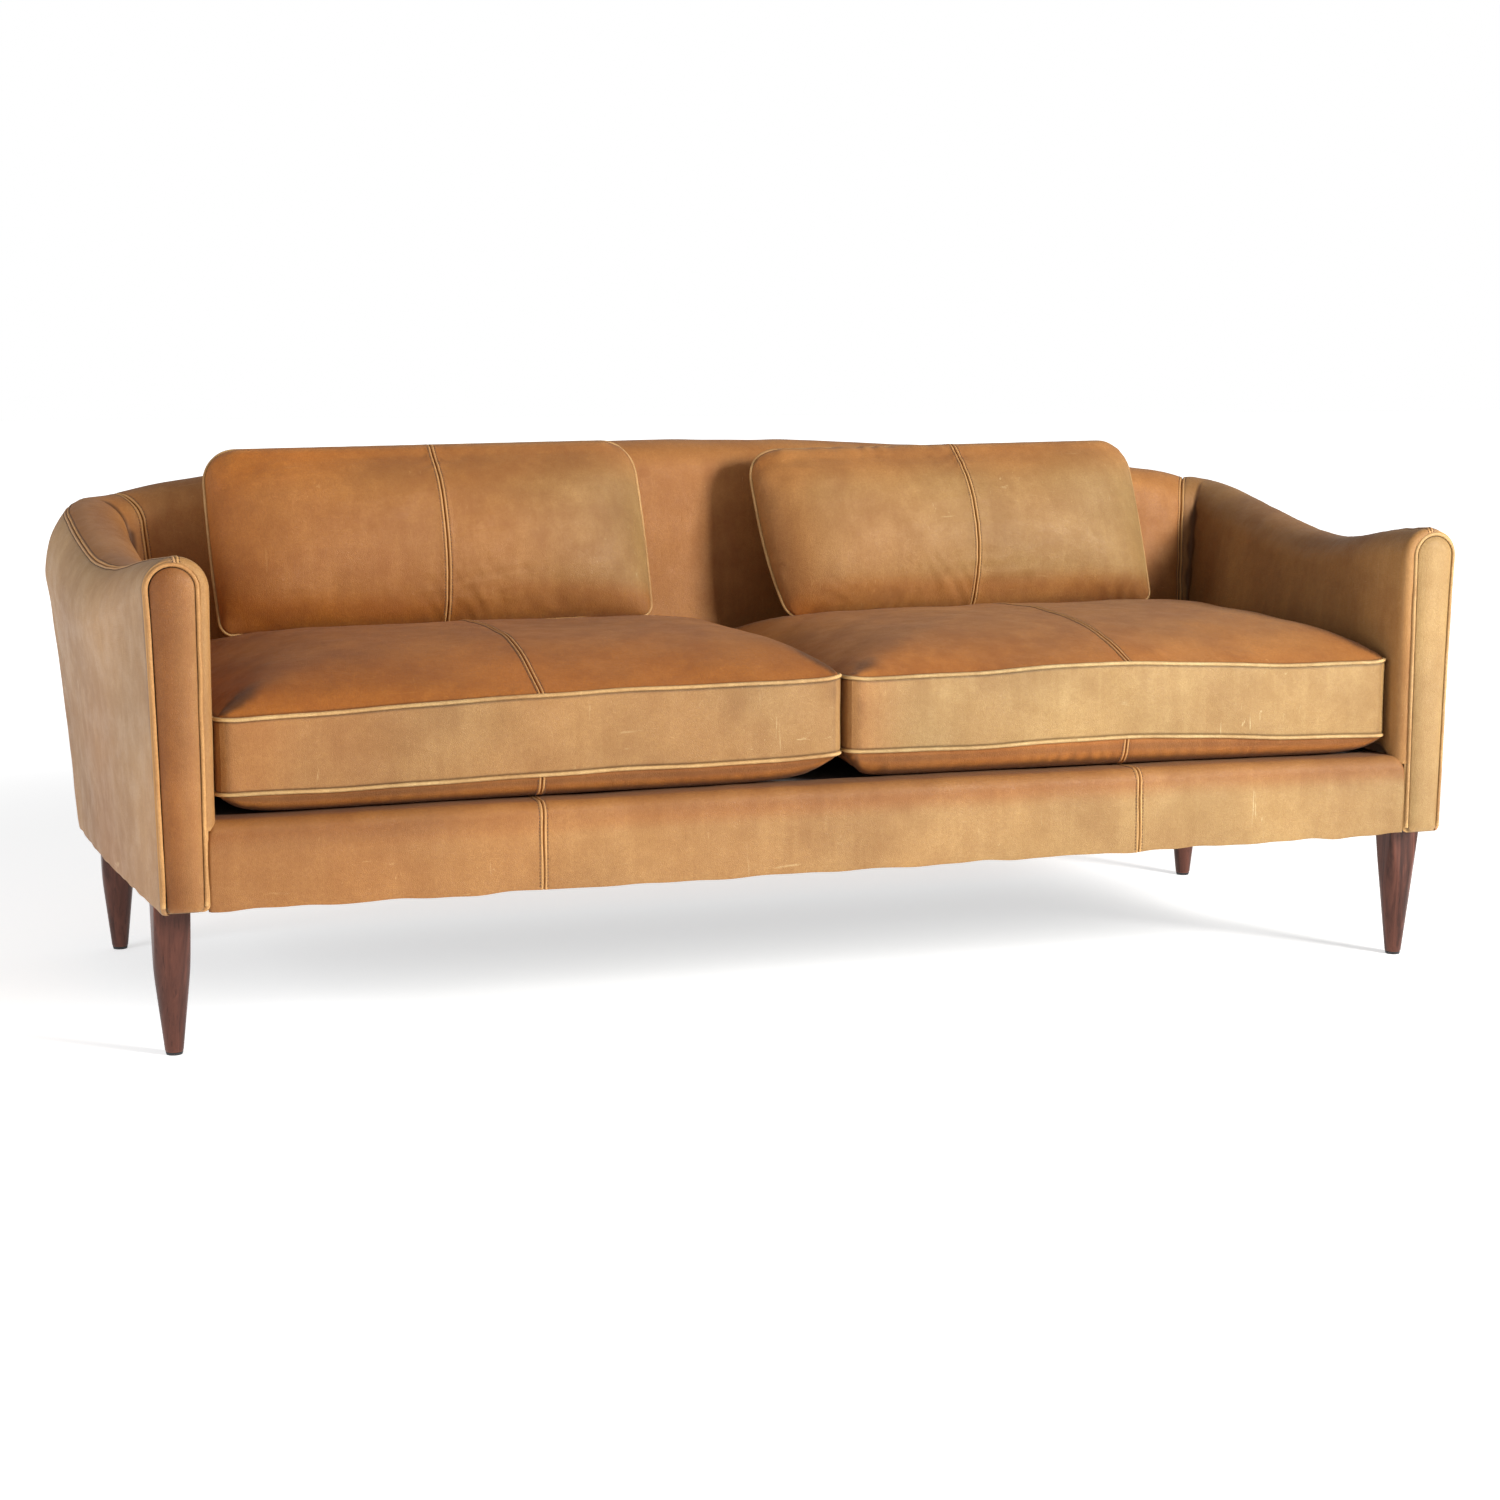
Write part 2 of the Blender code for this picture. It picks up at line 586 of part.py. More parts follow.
STRAP_WIDTH = 0.050
STRAP_X = (0.06, 0.25, 0.47, 0.69)
STRAP_ROWS = (0.42, 0.56)
UPRIGHT_Y = (0.3300, 0.3315)
UPRIGHT_BOTTOM = 0.250
UPRIGHT_TOP_DROP = 0.075
CROSSING_Y = (0.3288, 0.3306)
CROSSING_HALF = 0.93
uprights = []
for centre in [sign * x for x in STRAP_X for sign in (-1, 1)]:
    low = (centre - STRAP_WIDTH / 2, UPRIGHT_Y[0], UPRIGHT_BOTTOM)
    top = through(BACK_RIDGE, abs(centre)) - UPRIGHT_TOP_DROP
    uprights.append(loft(box_corners(low, (centre + STRAP_WIDTH / 2, UPRIGHT_Y[1], top))))
crossing = []
for z in STRAP_ROWS:
    high = (CROSSING_HALF, CROSSING_Y[1], z + STRAP_WIDTH)
    crossing.append(loft(box_corners((-CROSSING_HALF, CROSSING_Y[0], z), high)))
mesh = mesh_from("back_webbing", *gather(uprights))
webbing = place_in_scene("back_webbing", mesh, BLACK_CLOTH, 0.9)
boolean(webbing, "UNION", cutter("cross_straps", mesh_from("cross_straps", *gather(crossing))))

# ---------------------------------------------------------------- legs, glides, bolts, dust cover
LEG_FIT = 0.0003          # gap between a leg and its glide
TAPER_OVERRUN = 0.010
TAPER_SIDES = 32
GLIDE_INSET = (0.0015, 0.0005)
GLIDE_SIDES = 20
dust = add_box("dust_cover", *DUST_COVER, BLACK_CLOTH, 0.95)
for word, (x, y) in LEG_PLACES.items():
    half = LEG_SQUARE / 2
    low = (x - half, y - half, GLIDE_HEIGHT + LEG_FIT)
    leg = add_box("leg_" + word, low, (x + half, y + half, LEG_TOP), WALNUT, 0.4)
    top_radius = half * 2 ** 0.5
    slope = (top_radius - LEG_FOOT_RADIUS) / (LEG_TOP - GLIDE_HEIGHT)
    over = TAPER_OVERRUN
    rings = rod_rings(x, y, GLIDE_HEIGHT - over, LEG_TOP + over, LEG_FOOT_RADIUS - slope * over,
                      top_radius + slope * over, TAPER_SIDES)
    boolean(leg, "INTERSECT", cutter("taper_" + word, mesh_from("taper_" + word, *loft(rings))))
    boolean(leg, "DIFFERENCE", bore_cutters[word])
    boolean(dust, "DIFFERENCE", bore_cutters[word])
    rings = rod_rings(x, y, *BOLT_Z, BOLT_RADIUS, BOLT_RADIUS, ROD_SIDES)
    mesh = mesh_from("hanger_bolt_" + word, *loft(rings))
    place_in_scene("hanger_bolt_" + word, mesh, STEEL, 0.35, 1.0, 40)
    radii = [LEG_FOOT_RADIUS - inset for inset in GLIDE_INSET]
    rings = rod_rings(x, y, 0.0, GLIDE_HEIGHT, *radii, GLIDE_SIDES)
    mesh = mesh_from("leg_glide_" + word, *loft(rings))
    place_in_scene("leg_glide_" + word, mesh, BLACK_PLASTIC, 0.6, 0.0, 40)


# ---------------------------------------------------------------- cushions and pillows
CORNER_STEPS = 2
CROWN_SHARES = (0.72, 0.45, 0.22, 0.07)
ZIP_RING = len(CROWN_SHARES) + 1
LONG_SHARES = (-ZIP_SHARE, 0.0, ZIP_SHARE)


def plan_loop(half_x, half_y, radius, z):
    """Rounded rectangle, counter-clockwise, with points where the zip starts and ends."""
    radius = min(radius, 0.8 * min(half_x, half_y))
    loop = []
    for quarter in range(4):
        sign_x = 1 if quarter in (0, 3) else -1
        sign_y = 1 if quarter < 2 else -1
        for step in range(CORNER_STEPS + 1):
            angle = pi / 2 * (quarter + step / CORNER_STEPS)
            x = sign_x * (half_x - radius) + radius * cos(angle)
            loop.append((x, sign_y * (half_y - radius) + radius * sin(angle), z))
        if quarter in (0, 2):
            shares = LONG_SHARES[::-1] if quarter == 0 else LONG_SHARES
            loop += [(half_x * share, sign_y * half_y, z) for share in shares]
        else:
            loop.append((sign_x * half_x, 0.0, z))
    return loop


def cushion_rings(size, edges, crown, belly, radius, zip_half):
    """Rings of a boxed cushion from its belly to its crown; edges are the boxing's heights."""
    half_x = size[0] / 2
    half_y = size[1] / 2
    low, high = edges
    middle = (low + high) / 2
    rings = []
    for share in CROWN_SHARES:
        drop = belly * (1 - (1 - share) ** CROWN_POWER)
        rings.append(plan_loop(half_x - share * half_y, half_y * (1 - share), radius, low - drop))
    heights = (low, middle - zip_half, middle + zip_half, high)
    rings += [plan_loop(half_x, half_y, radius, z) for z in heights]
    for share in reversed(CROWN_SHARES):
        rise = crown * (1 - (1 - share) ** CROWN_POWER)
        rings.append(plan_loop(half_x - share * half_y, half_y * (1 - share), radius, high + rise))
    return rings


def core_mesh(name, rings):
    """The cushion's surface moved in evenly by the filling's inset."""
    mesh = mesh_from(name, *loft(rings))
    made = bmesh.new()
    made.from_mesh(mesh)
    made.normal_update()
    moved = [vert.co - vert.normal * CORE_INSET * vert.calc_shell_factor() for vert in made.verts]
    for vert, place in zip(made.verts, moved):
        vert.co = place
    made.to_mesh(mesh)
    made.free()
    return mesh


def casing_mesh(name, rings, zip_side):
    """The cushion's surface without the faces of its zip slot."""
    mesh = mesh_from(name, *loft(rings))
    made = bmesh.new()
    made.from_mesh(mesh)
    made.faces.ensure_lookup_table()
    count = len(rings[0])
    reach = max(vert.co.x for vert in made.verts) * (ZIP_SHARE + 0.02)
    edge = max(vert.co.y for vert in made.verts) * 0.98
    slot = []
    for face in made.faces[ZIP_RING * count:(ZIP_RING + 1) * count]:
        middle = face.calc_center_median()
        if abs(middle.x) < reach and middle.y * zip_side > edge:
            slot.append(face)
    bmesh.ops.delete(made, geom=slot, context="FACES_ONLY")
    made.to_mesh(mesh)
    made.free()
    return mesh


def empty(name, location, rotation=(0.0, 0.0, 0.0)):
    axis = bpy.data.objects.new(name, None)
    axis.location = location
    axis.rotation_euler = rotation
    bpy.context.scene.collection.objects.link(axis)
    return axis


def loose_cushion(kind, word, spot, size, edges, crown, belly, radius, zip_half, zip_side, filling):
    """Casing, filling, zip and slider of one loose cushion, on an empty at its middle."""
    parent = empty(kind + "_" + word, *spot)
    core, core_colour = filling
    outer = cushion_rings(size, edges, crown, belly, radius, zip_half)
    name = kind + "_casing_" + word
    casing = place_in_scene(name, casing_mesh(name, outer, zip_side), TAN, 0.5, smooth_angle=50)
    shell = casing.modifiers.new("Wall", "SOLIDIFY")
    shell.thickness = CASING
    shell.offset = -1.0
    shell.use_even_offset = True
    name = core + "_" + word
    filled = place_in_scene(name, core_mesh(name, outer), core_colour, 0.95, smooth_angle=50)
    half_zip = size[0] / 2 * ZIP_SHARE - FIT
    middle = (edges[0] + edges[1]) / 2
    edge_y = size[1] / 2
    tape_y = sorted((zip_side * (edge_y - CASING + ZIP_DEPTH_FIT), zip_side * (edge_y - ZIP_DEPTH_FIT)))
    tape = add_box(kind.split("_")[0] + "_zip_" + word, (-half_zip, tape_y[0], middle - zip_half + FIT),
                   (half_zip, tape_y[1], middle + zip_half - FIT), BLACK_CLOTH, 0.8)
    slider_low = edge_y + ZIP_DEPTH_FIT
    slider_y = sorted((zip_side * slider_low, zip_side * (slider_low + SLIDER_HEIGHT)))
    start = half_zip - SLIDER_INSET
    puller = empty(kind + "_zip_start_" + word, (-start, 0.0, middle))
    low = (-SLIDER_HALF[0], slider_y[0], -SLIDER_HALF[1])
    high = (SLIDER_HALF[0], slider_y[1], SLIDER_HALF[1])
    slider = add_box(kind.split("_")[0] + "_zip_slider_" + word, low, high, BRASS, 0.3, 1.0)
    slider.parent = puller
    for piece in (casing, filled, tape, puller):
        piece.parent = parent


seat_size = (SEAT_X[1] - SEAT_X[0], SEAT_Y[1] - SEAT_Y[0])
seat_middle = (SEAT_EDGE_Z[0] + SEAT_EDGE_Z[1]) / 2
seat_edges = (SEAT_EDGE_Z[0] - seat_middle, SEAT_EDGE_Z[1] - seat_middle)
for word, side in SIDES:
    spot = (side * (SEAT_X[0] + SEAT_X[1]) / 2, (SEAT_Y[0] + SEAT_Y[1]) / 2, seat_middle)
    loose_cushion("seat_cushion", word, (spot,), seat_size, seat_edges, SEAT_CROWN, SEAT_BELLY,
                  SEAT_CORNER_RADIUS, SEAT_ZIP_HALF, 1, ("seat_foam_core", FOAM))
    half_thick = PILLOW_SIZE[2] / 2
    loose_cushion("pillow", word, (PILLOW_PLACES[word], (PILLOW_LEAN, PILLOW_ROLL, 0.0)), PILLOW_SIZE[:2],
                  (-PILLOW_EDGE_HALF, PILLOW_EDGE_HALF), half_thick - PILLOW_EDGE_HALF,
                  half_thick - PILLOW_EDGE_HALF, PILLOW_CORNER_RADIUS, PILLOW_ZIP_HALF, -1,
                  ("pillow_insert", FIBRE))
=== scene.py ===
"""Looks of the two-seat leather sofa with wooden legs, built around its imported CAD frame.

Metres, +Z up, the back towards +Y. The leather of the arms and the back is one surface that is
carried up an arm, round the corner and along the back, as in the CAD. The seat cushions and the
pillows are stitched shells that are blown up with Blender's Cloth and then get their seams.
"""

from math import ceil, cos, pi, radians, sin, tau

import bmesh
import bpy
import numpy as np
from mathutils import Euler, Matrix, Vector


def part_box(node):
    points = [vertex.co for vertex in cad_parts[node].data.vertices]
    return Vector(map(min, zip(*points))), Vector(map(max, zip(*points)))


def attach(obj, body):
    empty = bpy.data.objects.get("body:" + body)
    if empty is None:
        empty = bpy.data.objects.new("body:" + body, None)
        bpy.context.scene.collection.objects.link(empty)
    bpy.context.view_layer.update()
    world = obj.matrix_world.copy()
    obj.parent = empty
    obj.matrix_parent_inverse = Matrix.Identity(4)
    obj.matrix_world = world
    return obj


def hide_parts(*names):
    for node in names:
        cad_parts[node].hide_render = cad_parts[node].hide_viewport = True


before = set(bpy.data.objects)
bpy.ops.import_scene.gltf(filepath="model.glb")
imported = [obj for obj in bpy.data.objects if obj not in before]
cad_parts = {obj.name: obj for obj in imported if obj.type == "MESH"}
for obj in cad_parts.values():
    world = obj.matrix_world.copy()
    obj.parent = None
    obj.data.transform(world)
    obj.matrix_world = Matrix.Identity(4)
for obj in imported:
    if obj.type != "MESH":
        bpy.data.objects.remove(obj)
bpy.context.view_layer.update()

# ---------------------------------------------------------------- the CAD's own dimensions
FRONT_Y = -0.435
INSIDE_X = 0.9105
INSIDE_Y = 0.264
CORNER_INSET = 0.030
TURN_X = INSIDE_X - CORNER_INSET
TURN_Y = INSIDE_Y - CORNER_INSET
COVER_BOTTOM = 0.212
INSIDE_BOTTOM = 0.346
ARM_RIDGE = ((-0.435, 0.690), (-0.30, 0.6765), (-0.15, 0.659), (-0.02, 0.6650),
             (0.10, 0.6840), (0.234, 0.7095))
BACK_RIDGE = ((0.0, 0.8115), (0.25, 0.8090), (0.50, 0.7935), (0.70, 0.7745), (0.8805, 0.7510))
ARM_FRONT = (0.000, 0.0435, 0.0435, 0.045, 0.045, 0.0760)
ARM_REAR = (0.030, 0.0625, 0.0625, 0.055, 0.105, 0.1175)
BACK = (0.030, 0.065, 0.086, 0.055, 0.120, 0.141)
LEAN_START = 0.42
SEAM_ANGLE = 61.0
REAR_SEAM_ANGLE = 84.0
LEG_X = 0.9665
LEG_Y = (-0.350, 0.3565)
LEG_HALF = 0.025
LEG_TOP = 0.2117
LEG_FOOT_RADIUS = 0.0125
GLIDE_HEIGHT = 0.0040
FACING_X = (0.9205, 0.9975)
RAIL_COVER_X = 0.920
RAIL_COVER_TOP = 0.342
RAIL_COVER_BACK = -0.365
RAIL_SEAMS = (-0.4615, 0.4615)
SEAT_X = (0.0040, 0.9055)
SEAT_Y = (-0.408, 0.2575)
SEAT_EDGE_Z = (0.372, 0.482)
PILLOW_SIZE = (0.700, 0.284, 0.165)
PILLOW_PLACES = {"left": (-0.478, 0.185, 0.671), "right": (0.420, 0.185, 0.669)}
PILLOW_TURN = (radians(70.0), radians(-0.8), 0.0)
ZIP_SHARE = 0.60

SIDES = (("left", -1), ("right", 1))


# ---------------------------------------------------------------- materials
class Nodes:
    """A material's node tree, with a few shorthands."""

    def __init__(self, name):
        self.material = bpy.data.materials.new(name)
        self.material.use_nodes = True
        self.tree = self.material.node_tree
        self.shader = self.tree.nodes["Principled BSDF"]
        place = self.add("ShaderNodeTexCoord").outputs["Object"]
        shift = [float(x) for x in np.random.default_rng(sum(map(ord, name))).uniform(-9, 9, 3)]
        self.place = self.mapped(place, (1.0, 1.0, 1.0), shift)

    def add(self, kind, **settings):
        node = self.tree.nodes.new(kind)
        for key, value in settings.items():
            setattr(node, key, value)
        return node

    def link(self, source, target):
        self.tree.links.new(source, target)

    def mapped(self, place, scale, shift=(0.0, 0.0, 0.0), turn=(0.0, 0.0, 0.0)):
        node = self.add("ShaderNodeMapping")
        node.inputs["Scale"].default_value = scale
        node.inputs["Location"].default_value = shift
        node.inputs["Rotation"].default_value = turn
        self.link(place, node.inputs["Vector"])
        return node.outputs["Vector"]

    def noise(self, scale, detail=4.0, rough=0.55, place=None, distortion=0.0):
        node = self.add("ShaderNodeTexNoise")
        self.link(place or self.place, node.inputs["Vector"])
        node.inputs["Scale"].default_value = scale
        node.inputs["Detail"].default_value = detail
        node.inputs["Roughness"].default_value = rough
        node.inputs["Distortion"].default_value = distortion
        return node.outputs["Fac"]

    def cells(self, scale):
        node = self.add("ShaderNodeTexVoronoi", feature="DISTANCE_TO_EDGE")
        self.link(self.place, node.inputs["Vector"])
        node.inputs["Scale"].default_value = scale
        return node.outputs["Distance"]

    def spread(self, value, low, high, to_low=0.0, to_high=1.0):
        """Maps low..high to to_low..to_high, clamped and smooth."""
        node = self.add("ShaderNodeMapRange", interpolation_type="SMOOTHSTEP")
        self.link(value, node.inputs["Value"])
        for key, number in zip(("From Min", "From Max", "To Min", "To Max"),
                               (low, high, to_low, to_high)):
            node.inputs[key].default_value = number
        return node.outputs["Result"]

    def maths(self, operation, first, second):
        node = self.add("ShaderNodeMath", operation=operation)
        for socket, value in zip(node.inputs, (first, second)):
            if isinstance(value, (int, float)):
                socket.default_value = value
            else:
                self.link(value, socket)
        return node.outputs["Value"]

    def mix(self, share, first, second, kind="MIX"):
        """Mixes two colours; either may be a tuple or a socket."""
        node = self.add("ShaderNodeMix", data_type="RGBA", blend_type=kind, clamp_factor=True)
        sockets = (node.inputs[0], node.inputs[6], node.inputs[7])
        for socket, value in zip(sockets, (share, first, second)):
            if isinstance(value, (int, float)):
                socket.default_value = value
            elif isinstance(value, tuple):
                socket.default_value = (*value, 1.0)
            else:
                self.link(value, socket)
        return node.outputs[2]

    def attribute(self, name):
        return self.add("ShaderNodeAttribute", attribute_name=name).outputs["Fac"]

    def bump(self, height, distance, strength=1.0):
        node = self.add("ShaderNodeBump")
        self.link(height, node.inputs["Height"])
        node.inputs["Distance"].default_value = distance
        node.inputs["Strength"].default_value = strength
        self.link(node.outputs["Normal"], self.shader.inputs["Normal"])

    def finish(self, colour, roughness, **constants):
        self.link(colour, self.shader.inputs["Base Color"])
        if isinstance(roughness, float):
            self.shader.inputs["Roughness"].default_value = roughness
        else:
            self.link(roughness, self.shader.inputs["Roughness"])
        for key, value in constants.items():
            self.shader.inputs[key.replace("_", " ")].default_value = value
        return self.material


def faded(colour, share):
    return tuple(min(1.0, value * share) for value in colour)


def leather(name, deep, body, pale, grain=1.0, scuffs=1.0):
    """Waxed pull-up hide: clouds of deeper colour, pale scuffs and creases, fine pores, pale rubbed
    edges, and light and shade painted in from point attributes.
    """
    n = Nodes(name)
    clouds = n.spread(n.noise(3.1, 5.0, 0.60, distortion=0.6), 0.32, 0.70, 0.20, 0.82)
    mottle = n.spread(n.noise(19.0, 6.0, 0.68), 0.30, 0.72)
    speck = n.noise(230.0, 3.0, 0.6)
    colour = n.mix(n.maths("MULTIPLY", clouds, 0.66), deep, body)
    colour = n.mix(n.maths("MULTIPLY", mottle, 0.42), colour, body)
    golden = tuple(value * rise for value, rise in zip(body, (1.36, 1.52, 1.80)))
    colour = n.mix(n.spread(n.noise(6.0, 3.0, 0.5), 0.50, 0.78, 0.0, 0.26), colour, golden)
    nap = n.noise(1.0, 4.0, 0.6, place=n.mapped(n.place, (52.0, 52.0, 5.0)))
    colour = n.mix(n.spread(nap, 0.42, 0.72, 0.0, 0.12), colour, golden)
    marks = []
    for turn, scale in (((0.3, 0.5, 0.9), (7.0, 170.0, 60.0)),
                        ((1.1, 0.2, -0.6), (150.0, 9.0, 70.0)),
                        ((0.4, 1.3, 0.3), (110.0, 80.0, 8.0))):
        streak = n.noise(1.0, 5.0, 0.62, place=n.mapped(n.place, scale, turn=turn), distortion=1.1)
        marks.append(n.spread(streak, 0.655, 0.715))
    patches = n.spread(n.noise(6.5, 2.0, 0.5), 0.45, 0.62)
    scratch = n.maths("MAXIMUM", n.maths("MAXIMUM", *marks[:2]), marks[2])
    scratch = n.maths("MULTIPLY", scratch, patches)
    colour = n.mix(n.maths("MULTIPLY", scratch, 0.50 * scuffs), colour, pale)
    colour = n.mix(n.spread(speck, 0.36, 0.64, 0.26, 0.0), colour, deep)
    pores = n.cells(430.0)
    colour = n.mix(n.spread(pores, 0.0, 0.16, 0.26 * grain, 0.0), colour, deep)
    # Painted light and shade: this attribute turns the leather paler and golden where light falls
    # and deeper and redder where it lies in shade, with a little real colour drift.
    tone_and_light = n.attribute("tone_and_light")
    colour = n.mix(n.spread(tone_and_light, 0.0, 1.0), colour, (0.92, 1.36, 1.95), "MULTIPLY")
    colour = n.mix(n.spread(tone_and_light, 0.0, -1.0), colour, (1.10, 0.87, 0.49), "MULTIPLY")
    # Painted shade: the dim attribute darkens places that lie in shade, with a little random
    # patchiness.
    colour = n.mix(n.attribute("dim"), colour, (0.0, 0.0, 0.0))
    # Points standing proud wear pale; points sunk in valleys and creases get painted crease shade.
    wear_and_crease_shade = n.attribute("wear_and_crease_shade")
    colour = n.mix(n.spread(wear_and_crease_shade, 0.12, 0.95, 0.0, 0.62), colour, pale)
    colour = n.mix(n.spread(wear_and_crease_shade, -0.95, -0.10, 0.88, 0.0), colour, faded(deep, 0.32))
    rough = n.spread(mottle, 0.0, 1.0, 0.60, 0.46)
    height = n.maths("MULTIPLY", n.spread(pores, 0.0, 0.22), 0.34 * grain)
    height = n.maths("ADD", height, n.maths("MULTIPLY", n.noise(105.0, 5.0, 0.64), 0.95))
    height = n.maths("ADD", height, n.maths("MULTIPLY", n.noise(30.0, 4.0, 0.6), 1.0))
    n.bump(height, 0.0011, 0.60)
    return n.finish(colour, rough, Specular_IOR_Level=0.32, Sheen_Weight=0.04, Sheen_Roughness=0.45)


def timber(name, dark, light, scale, roughness, along=(1.0, 1.0, 0.07)):
    """Wood with long grain, pores and a little colour drift."""
    n = Nodes(name)
    stretched = n.mapped(n.place, along)
    drift = n.noise(scale * 0.22, 3.0, 0.5, place=stretched)
    rings = n.noise(scale, 6.0, 0.65, place=stretched, distortion=1.6)
    pores = n.noise(scale * 9.0, 3.0, 0.7, place=stretched)
    colour = n.mix(n.spread(rings, 0.34, 0.68), dark, light)
    colour = n.mix(n.spread(drift, 0.35, 0.70, 0.0, 0.45), colour, light)
    colour = n.mix(n.spread(pores, 0.54, 0.72, 0.0, 0.55), colour, faded(dark, 0.5))
    wear_and_crease_shade = n.attribute("wear_and_crease_shade")
    colour = n.mix(n.spread(wear_and_crease_shade, 0.15, 0.9, 0.0, 0.35), colour, faded(light, 1.9))
    n.bump(n.maths("ADD", rings, n.maths("MULTIPLY", pores, 0.6)), 0.00035, 0.5)
    return n.finish(colour, n.spread(rings, 0.3, 0.7, roughness + 0.06, roughness - 0.05),
                    Specular_IOR_Level=0.26)


def woven(name, thread, gap, pitch, roughness):
    """Plain cloth with crossing threads of the given pitch."""
    n = Nodes(name)
    split = n.add("ShaderNodeSeparateXYZ")
    n.link(n.mapped(n.place, (tau / pitch, tau / pitch, tau / pitch)), split.inputs["Vector"])
    ribs = [n.maths("SINE", split.outputs[axis], 0.0) for axis in "XYZ"]
    cross = n.maths("MULTIPLY", ribs[0], ribs[1])
    cross = n.maths("ADD", cross, n.maths("MULTIPLY", ribs[1], ribs[2]))
    colour = n.mix(n.spread(cross, -0.9, 0.7), gap, thread)
    colour = n.mix(n.spread(n.noise(14.0, 4.0), 0.35, 0.75, 0.0, 0.35), colour, gap)
    n.bump(cross, pitch * 0.25, 0.7)
    return n.finish(colour, roughness, Sheen_Weight=0.2)


def metal(name, colour, roughness, scale):
    n = Nodes(name)
    brushed = n.noise(scale, 4.0, 0.6, place=n.mapped(n.place, (1.0, 1.0, 12.0)))
    shade = n.mix(n.spread(brushed, 0.3, 0.7), colour, faded(colour, 0.72))
    n.bump(brushed, 0.0001, 0.3)
    return n.finish(shade, n.spread(brushed, 0.3, 0.7, roughness, roughness + 0.18), Metallic=1.0)


def moulded(name, colour, roughness):
    n = Nodes(name)
    grain = n.noise(900.0, 2.0)
    shade = n.mix(n.spread(grain, 0.3, 0.7, 0.0, 0.5), colour, faded(colour, 1.8))
    n.bump(grain, 0.0001, 0.4)
    return n.finish(shade, roughness)


# Deep, body and pale colour of the hides; the one of the outer sides is a little rosier and greyer,
# a painted reflection of the cool light the outer sides catch.
HIDE = ((0.275, 0.098, 0.023), (0.500, 0.218, 0.056), (0.690, 0.385, 0.145))
SIDE_HIDE = ((0.282, 0.096, 0.027), (0.515, 0.211, 0.064), (0.700, 0.372, 0.160))
WELT_HIDE = ((0.275, 0.098, 0.023), (0.690, 0.370, 0.122), (0.760, 0.460, 0.180))


def hide(name, colours=HIDE):
    return leather("hide_" + name, *colours)


def welt_hide(name):
    return leather("welt_" + name, *WELT_HIDE, grain=0.7, scuffs=0.6)


walnut = timber("walnut_satin", (0.026, 0.0080, 0.0052), (0.128, 0.042, 0.026), 34.0, 0.36)
# The thread's dark brown is partly its own colour and partly painted shade of the shadowed stitch
# holes.
thread = woven("stitch_thread", (0.185, 0.078, 0.026), (0.080, 0.032, 0.012), 0.0006, 0.7)
hardwood = timber("hardwood_sawn", (0.42, 0.27, 0.14), (0.66, 0.48, 0.29), 26.0, 0.62,
                  (0.08, 1.0, 1.0))
steel = metal("spring_steel_wire", (0.56, 0.57, 0.60), 0.30, 60.0)
brass = metal("zip_brass", (0.62, 0.45, 0.20), 0.28, 240.0)
black_cloth = woven("black_cloth", (0.030, 0.030, 0.032), (0.008, 0.008, 0.009), 0.0011, 0.9)
deck_cloth = woven("deck_cloth", (0.115, 0.075, 0.048), (0.030, 0.019, 0.012), 0.0016, 0.92)
tape_cloth = woven("zip_tape", (0.090, 0.055, 0.033), (0.025, 0.015, 0.010), 0.0008, 0.85)
glide_black = moulded("glide_black", (0.014, 0.014, 0.015), 0.55)


# ---------------------------------------------------------------- meshes
def smooth(value):
    value = np.clip(value, 0.0, 1.0)
    return value * value * (3.0 - 2.0 * value)


def hump(value, middle, width):
    """1 at the middle, falling away to 0 on either side of it."""
    return np.exp(-((value - middle) / width) ** 2)


def fading(away, reach):
    return np.exp(-away / reach)


RIPPLE_WAVES = 9


def ripple(points, wavelength, seed):
    """Smooth wandering value from -1 to 1 at each point: a few waves in different directions."""
    draw = np.random.default_rng(seed)
    total = np.zeros(points.shape[:-1])
    for _ in range(RIPPLE_WAVES):
        way = draw.normal(size=3)
        way *= tau / (wavelength * draw.uniform(0.7, 1.5) * np.linalg.norm(way))
        total += np.sin(points @ way + draw.uniform(0.0, tau))
    return total / (RIPPLE_WAVES * 0.5) ** 0.5 * 0.6


def grid_quads(rows, columns, start=0):
    row, column = np.mgrid[0:rows - 1, 0:columns - 1]
    a = (start + row * columns + column).ravel()
    return np.stack([a, a + 1, a + 1 + columns, a + columns], -1)


def ring_faces(rings, count, closed=False):
    """Quads between neighbouring rings of count points, also from last to first if closed."""
    faces = []
    for ring in range(rings if closed else rings - 1):
        here, there = ring * count, (ring + 1) % rings * count
        faces += [(here + k, here + (k + 1) % count, there + (k + 1) % count, there + k)
                  for k in range(count)]
    return faces


def end_faces(rings, count):
    """The flat ends of a stack of rings."""
    return [tuple(range(count)), tuple(range((rings - 1) * count, rings * count))]


def outward_mesh(name, points, faces):
    """A mesh of this name with its faces turned outwards."""
    mesh = bpy.data.meshes.new(name)
    mesh.from_pydata([tuple(p) for p in np.asarray(points, float).reshape(-1, 3)], [],
                     [tuple(int(i) for i in face) for face in faces])
    made = bmesh.new()
    made.from_mesh(mesh)
    bmesh.ops.recalc_face_normals(made, faces=made.faces)
    made.to_mesh(mesh)
    made.free()
    return mesh


